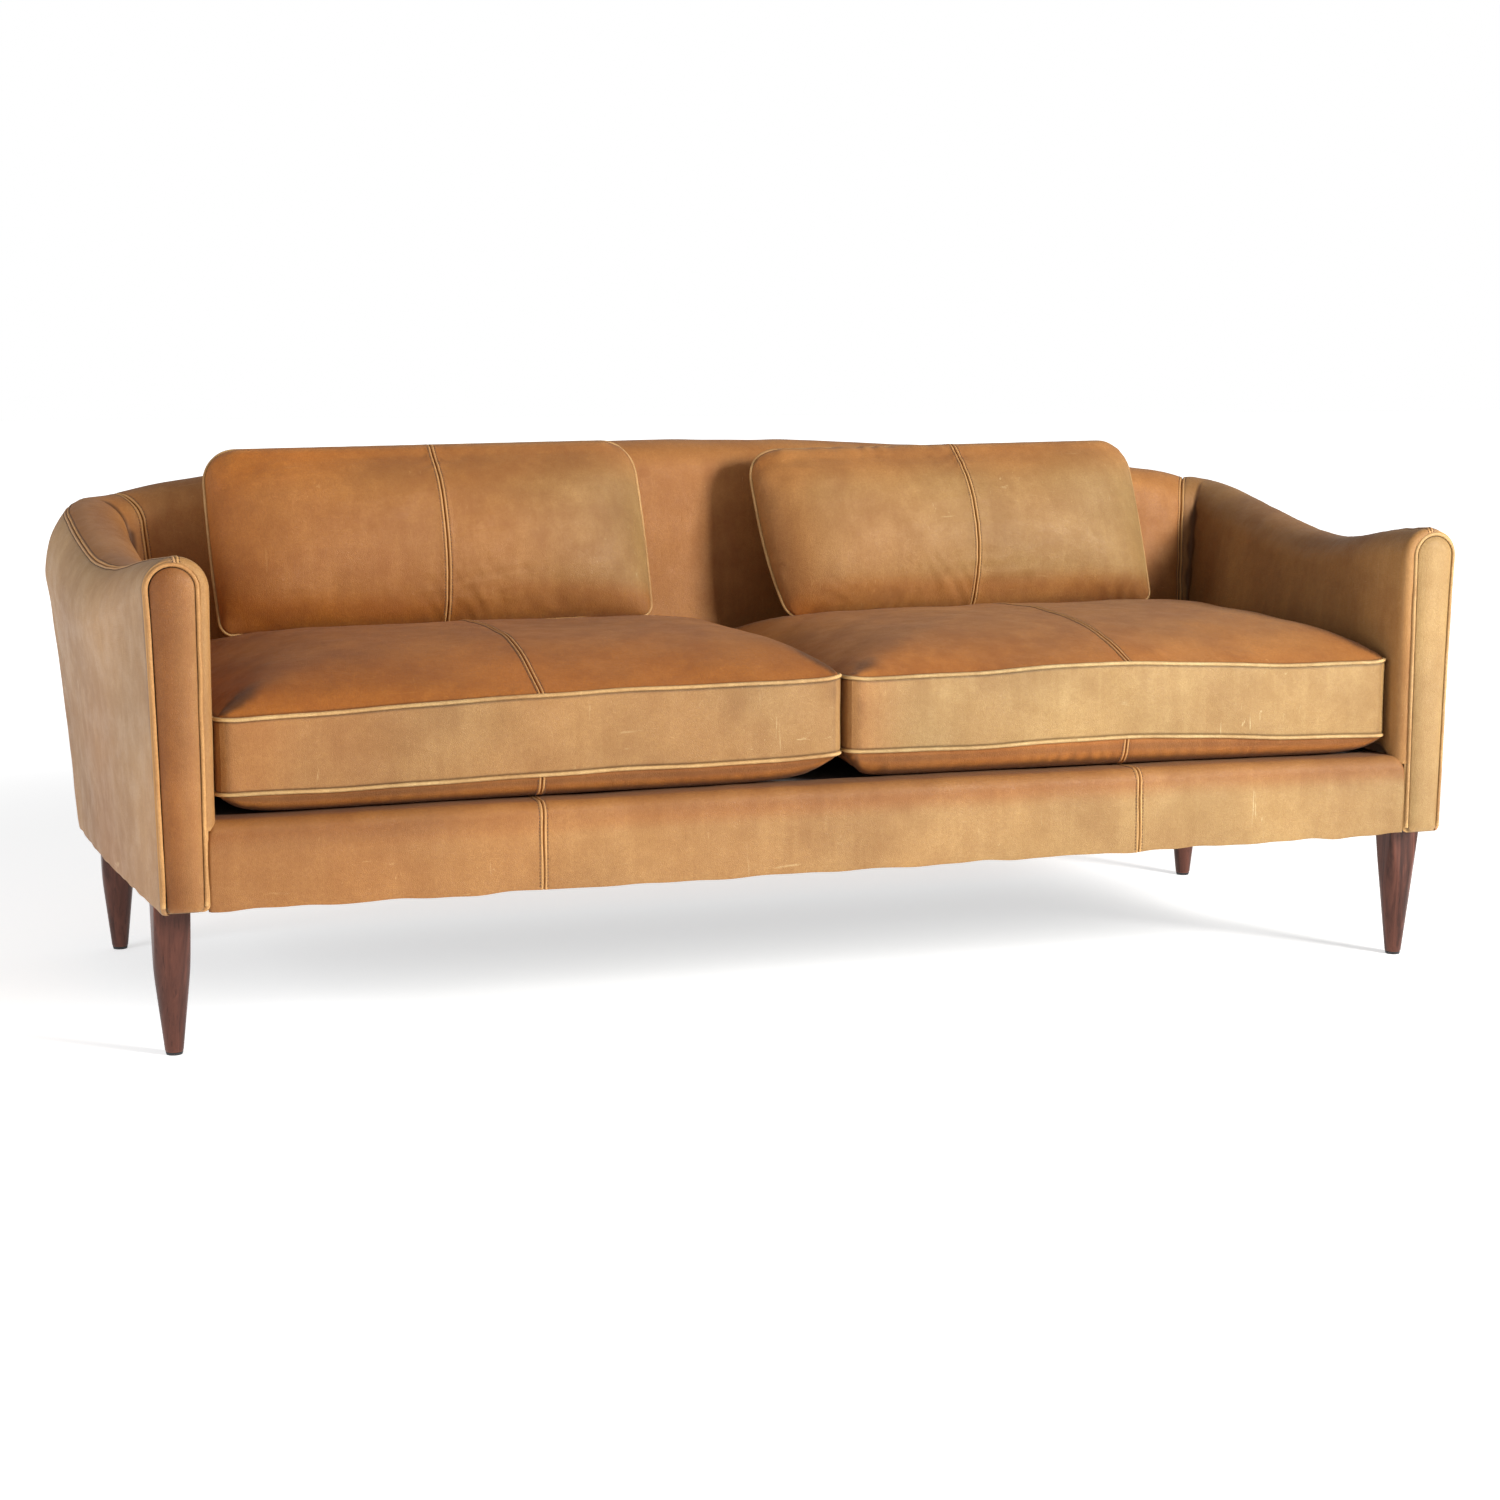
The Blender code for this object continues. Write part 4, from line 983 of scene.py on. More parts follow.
shaped = grid + out * (lift - 0.0012 * fading(away[2], 0.004))[..., None]
shaped[..., 2] += 0.0016 * ripple(grid, 0.065, 43) * fading(away[2], 0.022)
ends = np.minimum(away[0], away[1])
shaped[..., 2] += fold_profile(ends, RAIL_CORNER) * smooth((away[2] - 0.06) / 0.06)
shaped[..., 2] -= rail_drop(x) * smooth((away[2] - 0.03) / 0.09)
piece = solid("front_rail_cover", *walled(shaped, out), hide("front_rail"), wear_and_shade_depth=0.0014)
rub_and_highlight(piece, np.minimum(*(np.abs(x - seam) for seam in RAIL_SEAMS)), True)
settle(piece, "frame", "leather_tan", "front_rail_cover")
# Painted light and shade: the cover's colour and dimming change from left to right to follow how
# the light falls along it, and its top roll, facing up under the cushions' front edge, is deeper,
# redder and dimmer as painted shade.
rolled = smooth((away[2] - 0.075) / 0.050)
tone_and_light = 0.62 + 0.42 * x / RAIL_END - 0.20 * (x / RAIL_END) ** 2 - 0.80 * rolled
dim = 0.02 + 0.115 * (x / RAIL_END) ** 2 - 0.035 * x / RAIL_END + 0.24 * rolled
tint(piece, np.tile(tone_and_light.ravel(), 2), np.tile(dim.ravel(), 2))
rows = []
for seam in RAIL_SEAMS:
    for hand in (-1, 1):
        near = int(np.argmin(np.abs(rail_x - seam - hand * STITCH_AWAY)))
        rows.append((shaped[near, 3:-6], out[near, 3:-6]))
add_stitches("rail_stitches", rows, "frame")


# ---------------------------------------------------------------- deck and dust cover
def cloth_sheet(name, x_half, y_low, y_high, z, sag, step, stuff, fold, thick):
    """A nearly flat sheet of cloth with soft hollows and a folded border."""
    xs = ruled(2 * x_half, [], step) - x_half
    ys = ruled(y_high - y_low, [], step) + y_low
    flat = np.stack(np.meshgrid(xs, ys, indexing="ij"), -1)
    grid = np.concatenate([flat, np.full((*flat.shape[:2], 1), z)], -1)
    edge = np.minimum.reduce(edge_distances(grid))
    uneven = abs(sag) * 0.35 * ripple(grid, 0.18, 61)
    grid[..., 2] += sag * smooth(edge / 0.16) + uneven * smooth(edge / 0.06)
    grid[..., 2] -= fold * smooth((edge - 0.015) / 0.004)
    return solid(name, *level_walled(grid, thick), stuff)


_, deck_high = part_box("seat_deck_pad")
piece = cloth_sheet("seat_deck_pad_cloth", RAIL_COVER_X - 0.012, RAIL_COVER_BACK - 0.004,
                    deck_high[1], deck_high[2] - 0.0080, -0.0010, 0.012, deck_cloth, 0.0, 0.006)
settle(piece, "frame", "fibre", "seat_deck_pad")
dust_low, dust_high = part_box("dust_cover")
piece = cloth_sheet("dust_cover_cloth", dust_high[0] - 0.002, dust_low[1] + 0.002,
                    dust_high[1] - 0.002, dust_high[2] - 0.0004, -0.0030, 0.014, black_cloth,
                    -0.0006, 0.0010)
settle(piece, "frame", "black_cloth", "dust_cover")

# ---------------------------------------------------------------- legs
LEG_EDGE = 0.0007         # softness of a leg's edges
LEG_RINGS = 100
LEG_SIDES = 144


def leg_mesh(x, y):
    """A square post turned to a cone, so that its corners run out in long points."""
    heights = np.linspace(GLIDE_HEIGHT + 0.0003, LEG_TOP, LEG_RINGS)
    angles = tau * np.arange(LEG_SIDES) / LEG_SIDES
    points = []
    for z in heights:
        share = (z - GLIDE_HEIGHT) / (LEG_TOP - GLIDE_HEIGHT)
        cone = LEG_FOOT_RADIUS + (LEG_HALF * 2 ** 0.5 - LEG_FOOT_RADIUS) * share
        square = LEG_HALF / np.maximum(np.abs(np.cos(angles)), np.abs(np.sin(angles)))
        lesser = np.minimum(square, cone)
        radius = lesser - LEG_EDGE * np.log1p(np.exp(-np.abs(square - cone) / LEG_EDGE))
        radius -= 0.0008 * fading(z - heights[0], 0.0007)
        points.append(np.stack([x + radius * np.cos(angles), y + radius * np.sin(angles),
                                np.full(LEG_SIDES, z)], -1))
    faces = ring_faces(LEG_RINGS, LEG_SIDES) + end_faces(LEG_RINGS, LEG_SIDES)
    return np.concatenate(points), faces


for depth_word, y in zip(("front", "rear"), LEG_Y):
    for word, side in SIDES:
        name = "leg_" + depth_word + "_" + word
        piece = solid("turned_" + name, *leg_mesh(side * LEG_X, y), walnut, sharp=50, wear_and_shade_depth=0.0005)
        settle(piece, "frame", "walnut", name)


# ---------------------------------------------------------------- stitched shells
def surface_of(shape):
    """Marks the surface points of a box lattice."""
    shell = np.ones(shape, bool)
    shell[1:-1, 1:-1, 1:-1] = False
    return shell


def lattice(counts):
    """Numbers of a box lattice's surface points, which ones they are, and its outside quads."""
    index = -np.ones(counts, int)
    shell = surface_of(counts)
    index[shell] = np.arange(shell.sum())
    quads = []
    for axis in range(3):
        for end in (0, -1):
            sheet = np.moveaxis(index, axis, 0)[end]
            quads.append(np.stack([sheet[:-1, :-1], sheet[1:, :-1], sheet[1:, 1:], sheet[:-1, 1:]],
                                  -1).reshape(-1, 4))
    return index, shell, np.concatenate(quads)


def plan(a, b, half_x, half_y, radius):
    """Rounded rectangle from a square of -1..1, without folding at the corners."""
    x = a * half_x
    y = b * half_y
    p = np.clip((np.abs(x) - (half_x - radius)) / radius, 0.0, 1.0)
    q = np.clip((np.abs(y) - (half_y - radius)) / radius, 0.0, 1.0)
    x = x + np.sign(a) * radius * (p * np.sqrt(1 - q * q / 2) - p)
    y = y + np.sign(b) * radius * (q * np.sqrt(1 - p * p / 2) - q)
    return x, y


SIM_FRAMES = 20


def blow_up(shells):
    """Simulates all the shells together and gives back each one's points.

    Each is (name, points, quads, held, settings): held are the pinned points' weights."""
    things = []
    for name, points, quads, held, settings in shells:
        thing = solid("sim_" + name, points, quads, thread)
        group = thing.vertex_groups.new(name="held")
        for level in np.unique(held):
            if level > 0:
                group.add([int(i) for i in np.flatnonzero(held == level)], float(level), "REPLACE")
        cloth = thing.modifiers.new("Cloth", "CLOTH")
        cloth.settings.quality = 6
        cloth.settings.effector_weights.gravity = 0.0
        cloth.settings.use_pressure = True
        cloth.settings.vertex_group_mass = "held"
        for key, value in settings.items():
            setattr(cloth.settings, key, value)
        cloth.collision_settings.use_collision = False
        cloth.point_cache.frame_end = SIM_FRAMES
        things.append(thing)
    scene = bpy.context.scene
    for number in range(1, SIM_FRAMES + 1):
        scene.frame_set(number)
    view = bpy.context.evaluated_depsgraph_get()
    results = [coordinates(thing.evaluated_get(view).to_mesh()) for thing in things]
    scene.frame_set(1)
    for thing in things:
        mesh = thing.data
        bpy.data.objects.remove(thing, do_unlink=True)
        bpy.data.meshes.remove(mesh)
    return results


def capped(rest, moved, limit):
    """The moved points, none further than the limit from where it was."""
    shift = moved - rest
    length = np.linalg.norm(shift, axis=1)
    keep = limit * np.tanh(length / limit) / np.maximum(length, 1e-9)
    return rest + shift * keep[:, None]


def finer(count, places):
    """Weights that read a smooth curve through count even points at the given places."""
    weights = np.zeros((len(places), count))
    for row, place in enumerate(places):
        k = min(count - 2, int(place))
        t = place - k
        four = (((-t + 2) * t - 1) * t / 2, ((3 * t - 5) * t * t + 2) / 2,
                ((-3 * t + 4) * t + 1) * t / 2, (t - 1) * t * t / 2)
        for step, weight in zip((-1, 0, 1, 2), four):
            spot = k + step
            if spot < 0:
                weights[row, 0] += 2 * weight
                weights[row, 1] -= weight
            elif spot >= count:
                weights[row, -1] += 2 * weight
                weights[row, -2] -= weight
            else:
                weights[row, spot] += weight
    return weights


def refine(points, index, places):
    """The shell's points on a closer lattice whose lines are at the given places."""
    shape = tuple(len(p) for p in places)
    whole = np.zeros((*index.shape, 3))
    whole[index >= 0] = points
    fine = np.zeros((*shape, 3))
    weights = [finer(size, place) for size, place in zip(index.shape, places)]
    for axis in range(3):
        others = [other for other in range(3) if other != axis]
        for end in (0, -1):
            sheet = np.moveaxis(whole, axis, 0)[end]
            sheet = np.einsum("ai,ijk,bj->abk", weights[others[0]], sheet, weights[others[1]])
            np.moveaxis(fine, axis, 0)[end] = sheet
    new_index, shell, quads = lattice(shape)
    return fine[shell], new_index, quads


def shell_coordinates(places, counts):
    """Lattice coordinates from -1 to 1 of the surface points of a lattice."""
    spans = [2 * np.asarray(p) / (count - 1) - 1 for p, count in zip(places, counts)]
    whole = np.stack(np.meshgrid(*spans, indexing="ij"), -1)
    return whole[surface_of(whole.shape[:3])]


def rim(index, level):
    """Numbers of the points round the edge of a lattice's lowest (0) or highest (-1) sheet."""
    sheet = index[:, :, level]
    return np.concatenate([sheet[:-1, 0], sheet[-1, :-1], sheet[:0:-1, -1], sheet[0, :0:-1]])


def beside_seam(index, lines, count, length, at, skipped):
    """Numbers of the points along both sides of a seam, on the lowest and highest sheet."""
    rows = []
    for level in (0, -1):
        for hand in (-1, 1):
            target = (length / 2 + at + hand * STITCH_AWAY) / length * (count - 1)
            near = int(np.argmin(np.abs(lines - target)))
            rows.append(index[near, skipped:-skipped, level])
    return rows


def lifted(points, quads, amount):
    """Points moved along their normals by the amount."""
    mesh = outward_mesh("lift", points, quads)
    out = normals(mesh)
    bpy.data.meshes.remove(mesh)
    return points + out * np.asarray(amount)[:, None], out


IRON_ROUNDS = 6


def ironed(points, rest, index):
    """A filled shell whose upper and lower panels have lost the smallest wrinkles."""
    moved = points - rest
    for level in (0, -1):
        sheet = moved[index[:, :, level]]
        for _ in range(IRON_ROUNDS):
            beside = sheet[:-2, 1:-1] + sheet[2:, 1:-1] + sheet[1:-1, :-2] + sheet[1:-1, 2:]
            sheet[1:-1, 1:-1] = sheet[1:-1, 1:-1] / 2 + beside / 8
        moved[index[:, :, level]] = sheet
    return rest + moved


def even_loop(loop, step):
    """A closed path read again at even steps, a little smoothed."""
    closed = np.concatenate([loop, loop[:1]])
    length = run_lengths(closed)[-1]
    count = int(length / step)
    path = along_path(closed, np.arange(count) * length / count)
    for _ in range(2):
        path = (np.roll(path, 1, axis=0) + 2 * path + np.roll(path, -1, axis=0)) / 4
    return path


# ---------------------------------------------------------------- seat cushions
SEAT_HALF = ((SEAT_X[1] - SEAT_X[0]) / 2, (SEAT_Y[1] - SEAT_Y[0]) / 2)
SEAT_COUNTS = (76, 58, 11)            # points of the simulated lattice
SEAT_STEPS = (0.0065, 0.0065, 0.006)  # and the spacing of the finished one
SEAT_RADIUS = 0.019
SEAT_CROWN = 0.067        # how far the filled top rises above the upper edge
SEAT_BELLY = 0.0275       # how far the filled underside hangs below the lower edge
SEAT_WELT = 0.0028
CROWN_POWER = 4.0
BELLY_POWER = 26.0


# How much higher than level the front edges lie, in mm, at even steps from left to right.
EDGE_WAVES = {("left", "lower"): (-6.0, -8.0, -2.0, 0.5, 0.5, 8.0),
              ("left", "upper"): (-16.0, -11.0, -1.0, 3.0, 4.0, 9.0),
              ("right", "lower"): (8.0, 7.0, 10.5, 7.0, -1.5, -8.0),
              ("right", "upper"): (3.5, 7.0, 13.5, 8.0, 0.5, -2.0)}
BELLY_TURN = {"left": (0.024, 0.036), "right": (0.015, 0.024)}


def edge_wave(a, b, word, level):
    """Lift of a seat cushion's edge, full at its front and gone towards its back."""
    heights = np.array(EDGE_WAVES[word, level]) * 0.001
    curve = finer(len(heights), np.linspace(0.0, len(heights) - 1.0, 61)) @ heights
    return np.interp(a, np.linspace(-1.0, 1.0, 61), curve) * smooth((0.7 - b) / 1.6)


def crown_share(a, b, half_x, half_y, power, firm=0.0):
    """How full a panel is, from 0 at its edge to 1; a high power is full near the edge already.

    firm makes the panel fuller still towards a = 1."""
    t_x = np.clip((1 - np.abs(a)) * half_x / half_y * (1 + firm * smooth(a)), 1e-4, 1.0)
    t_y = np.clip(1 - np.abs(b), 1e-4, 1.0)
    nearest = (t_x ** -4 + t_y ** -4) ** -0.25
    return 1 - (1 - np.clip(nearest, 0.0, 1.0)) ** power


def seat_rest(abc, side):
    """A seat cushion's sewn shape before it is filled."""
    a, b, c = abc.T
    x, y = plan(a, b, *SEAT_HALF, SEAT_RADIUS)
    low, high = SEAT_EDGE_Z
    middle = (low + high) / 2
    z = middle + c * (high - low) / 2
    full = crown_share(a, b, *SEAT_HALF, CROWN_POWER, 1.1 - 0.3 * side)
    belly = crown_share(a, b, *SEAT_HALF, BELLY_POWER)
    z += np.where(c >= 1, 0.90 * SEAT_CROWN * full, 0.0)
    z -= np.where(c <= -1, 0.95 * SEAT_BELLY * belly, 0.0)
    dip = 0.0011 * np.sin(a * 6.0 + side) + 0.0004 * np.sin(a * 17.0 + 2 * side + b)
    dip += 0.0024 * smooth((np.abs(a) - 0.93) / 0.07) * smooth((-b - 0.7) / 0.3) * (c > 0)
    word = "left" if side < 0 else "right"
    low_wave, high_wave = (edge_wave(a, b, word, level) for level in ("lower", "upper"))
    wave = low_wave + (high_wave - low_wave) * (np.clip(c, -1.0, 1.0) + 1) / 2
    z = z + dip * (1 - full) + wave * (1 - np.where(c >= 1, full, np.where(c <= -1, belly, 0.0)))
    x = side * (SEAT_X[0] + SEAT_X[1]) / 2 + x
    return np.stack([x, (SEAT_Y[0] + SEAT_Y[1]) / 2 + y, z], -1)


# ---------------------------------------------------------------- pillows
PILLOW_COUNTS = (74, 34, 2)           # points of the simulated lattice
PILLOW_STEP = 0.0048                  # and the spacing of the finished one
PILLOW_RADIUS = (0.018, 0.050)        # of the lower and the upper corners
PILLOW_REACH = {"left": (-0.150, 0.147), "right": (-0.150, 0.140)}
PILLOW_EDGE = 0.004
PILLOW_WELT = 0.0026
# How far each corner is drawn in along the pillow: (side of x, side of y, inwards).
PILLOW_TUCKS = {"left": ((1, 1, 0.006), (-1, -1, 0.007), (-1, 1, 0.002), (1, -1, 0.004)),
                "right": ((-1, -1, 0.034), (1, 1, 0.008), (-1, 1, -0.004), (1, -1, 0.002))}


ZIP_WIDENING = 0.0028


def zip_band(a, b):
    """1 along the part of a pillow's lower edge that holds the zip, else 0."""
    return smooth((0.74 - np.abs(a)) / 0.10) * smooth((-b - 0.90) / 0.10)


def pillow_rest(abc, word):
    """A pillow's sewn shape before it is filled, lying flat at the origin."""
    a, b, c = abc.T
    half_x, half_y, half_z = (size / 2 for size in PILLOW_SIZE)
    x, y = plan(a, b, half_x, half_y, np.where(b < 0, *PILLOW_RADIUS))
    for hand_x, hand_y, amount in PILLOW_TUCKS[word]:
        near = np.clip((1 + hand_x * a) / 2, 0, 1) ** 6 * np.clip((1 + hand_y * b) / 2, 0, 1) ** 3
        x = x - hand_x * amount * near
    t_x = np.clip((1 - np.abs(a)) * half_x / (half_y * 1.2), 0.0, 1.0)
    full = ((1 - (1 - t_x) ** 3.0) * (1 - np.abs(b) ** 3.0)) ** 0.80
    rim_half = PILLOW_EDGE + ZIP_WIDENING * zip_band(a, b)
    z = c * (rim_half + (0.86 * half_z - rim_half) * full)
    return np.stack([x, y, z], -1)


# ---------------------------------------------------------------- filling them
def sewn(name, counts, rest_of, which, pressure, bending, shrink):
    """A shell as blow_up takes it, held along the two edges that are piped."""
    index, _, quads = lattice(counts)
    rest = rest_of(shell_coordinates([np.arange(n) for n in counts], counts), which)
    held = np.zeros(len(rest))
    for level in (0, -1):
        held[rim(index, level)] = 1.0
    settings = dict(uniform_pressure_force=pressure, tension_stiffness=20.0,
                    compression_stiffness=20.0, bending_stiffness=bending, shrink_min=shrink)
    return name, rest, quads, held, settings


shells = [sewn("seat_" + word, SEAT_COUNTS, seat_rest, side, 1.6, 2.0, 0.0) for word, side in SIDES]
shells += [sewn("pillow_" + word, PILLOW_COUNTS, pillow_rest, word, 3.2, 1.0, -0.004)
           for word, _ in SIDES]
SWELL = (0.024, 0.024, 0.026, 0.026)  # how far any point of each shell may move
filled = [capped(shell[1], moved, limit)
          for shell, moved, limit in zip(shells, blow_up(shells), SWELL)]

# ---------------------------------------------------------------- finished pillows
DENT_CELL = 0.009
DENT_SOFT = 0.0030
DENT_GAP = -0.0080
ZIP_CLEAR = 0.0155                    # how far below a pillow's edge its zip slider keeps the seat
PILLOW_SEAM = 0.006                   # how far right of its middle a pillow's seam runs
dents = {}


def underside(points):
    """The lowest height of some points over each cell of the floor plan."""
    cells = np.floor(points[:, :2] / DENT_CELL).astype(int)
    lowest = {}
    for (column, row), z in zip(cells, points[:, 2]):
        for near in ((0, 0), (1, 0), (0, 1), (-1, 0), (0, -1)):
            key = (column + near[0], row + near[1])
            lowest[key] = min(z, lowest.get(key, 9.0))
    return lowest


def pressed(points, lowest):
    """Points kept just below the underside of what rests on them."""
    sunk = points.copy()
    cells = np.floor(points[:, :2] / DENT_CELL).astype(int)
    for number, (column, row) in enumerate(cells):
        limit = lowest.get((column, row))
        if limit is not None and points[number, 2] > limit - DENT_GAP - 4 * DENT_SOFT:
            over = (points[number, 2] - limit + DENT_GAP) / DENT_SOFT
            sunk[number, 2] -= DENT_SOFT * np.log1p(np.exp(min(over, 30.0)))
    return sunk


for (word, side), points, shell in zip(SIDES, filled[2:], shells[2:]):
    name = "pillow_casing_" + word
    index, _, _ = lattice(PILLOW_COUNTS)
    points = ironed(points, shell[1], index)
    half_x, half_y, half_z = (size / 2 for size in PILLOW_SIZE)
    lengths = (2 * half_x, 2 * half_y)
    places = [ruled(lengths[0], [half_x + PILLOW_SEAM], PILLOW_STEP),
              ruled(lengths[1], [], PILLOW_STEP)]
    places = [p / length * (n - 1) for p, length, n in zip(places, lengths, PILLOW_COUNTS)]
    places.append(np.array([0.0, 0.5, 1.0]))
    low, high = points.min(axis=0), points.max(axis=0)
    bottom, top = PILLOW_REACH[word]
    scale = np.array((PILLOW_SIZE[0], top - bottom, PILLOW_SIZE[2])) / (high - low)
    points = (points - (low + high) / 2) * scale + (0.0, (top + bottom) / 2, 0.0)
    fine, fine_index, quads = refine(points, index, places)
    abc = shell_coordinates(places, PILLOW_COUNTS)
    a, b, c = abc.T
    edge = np.minimum((1 - np.abs(a)) * half_x, (1 - np.abs(b)) * half_y)
    seam = np.where(np.abs(c) >= 1, np.abs(a * half_x - PILLOW_SEAM), 1.0)
    lift = seam_valley(seam, 0.0030)
    lift += 0.0011 * hump(seam, 0.0062, 0.0035)
    lift += 0.0010 * gathers(fine, b * half_y, 0.024, 16, seam, 0.020, 0.005)
    run = np.where((1 - np.abs(a)) * half_x < (1 - np.abs(b)) * half_y, b * half_y, a * half_x)
    lift += 0.0020 * gathers(fine, run, 0.040, 18 + side, edge, 0.020, 0.008)
    lift += 0.0016 * ripple(fine, 0.15, 20 + side) * smooth(edge / 0.03)
    wrinkled = np.clip(ripple(fine, 0.22, 27), 0, 1) * smooth(edge / 0.02)
    lift += 0.0007 * ripple(fine * (1.0, 2.6, 1.0), 0.040, 25 + side) * wrinkled
    lift += 0.0060 * hump((1 - b) * half_y, 0.012, 0.010) * smooth((0.93 - np.abs(a)) / 0.1)
    creased = hump(a, -0.13 * side, 0.22) * smooth((-b - 0.25) / 0.5)
    slanting = fine * (1.0, 0.38, 0.0) + fine[:, [1, 0, 2]] * (0.6, 0.0, 0.0)
    lift += 0.0011 * ripple(slanting, 0.019, 33) * creased * smooth(edge / 0.008)
    lift -= 0.0018 * hump(edge, 0.0, 0.0035)
    shaped, out = lifted(fine, quads, lift)
    place = np.array(Matrix.Translation(PILLOW_PLACES[word])
                     @ Euler(PILLOW_TURN).to_matrix().to_4x4())

    def placed(local):
        return local @ place[:3, :3].T + place[:3, 3]

    piece = solid(name, placed(shaped), quads, hide("pillow_" + word), wear_and_shade_depth=0.0026)
    rub_and_highlight(piece, seam)
    zip_way = [(along, bottom - ZIP_CLEAR, across) for across in (-0.005, 0.0, 0.005)
               for along in np.linspace(-ZIP_SHARE, ZIP_SHARE, 90) * half_x]
    dents[word] = underside(np.concatenate([placed(shaped), placed(np.array(zip_way))]))
    body = "pillow_" + word
    settle(piece, body, "leather_tan", name, "pillow_insert_" + word)
    # Painted light and shade: each pillow is paler and golden towards its right, where the light
    # comes from, and deeper and redder towards its left end, its top band and its foot; the foot,
    # sinking into the seat, is also dimmed as a painted contact shadow, and the left pillow is a
    # little dimmer than the right.
    head, foot = smooth((b - 0.30) / 0.65), smooth((-b - 0.58) / 0.40)
    tone_and_light = 0.40 + 0.24 * side + (0.42 - 0.22 * side) * a - 0.60 * head - 0.90 * foot
    tint(piece, tone_and_light - 0.35 * smooth((-a - 0.70) / 0.30), 0.02 - 0.02 * side + 0.18 * foot)
    loop = (fine[rim(fine_index, 0)] + fine[rim(fine_index, -1)]) / 2
    loop_b = loop[:, 1] / half_y
    loop[:, 2] += 0.0085 * zip_band(loop[:, 0] / half_x, loop_b) * (loop_b < -0.5)
    path = placed(even_loop(loop, 0.005))
    welt = solid("pillow_welt_" + word, *tube(path, PILLOW_WELT, 10, True, 0.05, 7),
                 welt_hide("pillow_" + word), wear_and_shade_depth=WELT_WEAR_AND_SHADE_DEPTH)
    settle(welt, body, "leather_welt")
    tint(welt, 0.40)
    picks = beside_seam(fine_index, places[0], PILLOW_COUNTS[0], lengths[0], PILLOW_SEAM, 2)
    rows = [(placed(shaped[pick]), out[pick] @ place[:3, :3].T) for pick in picks]
    add_stitches("pillow_stitches_" + word, rows, body)

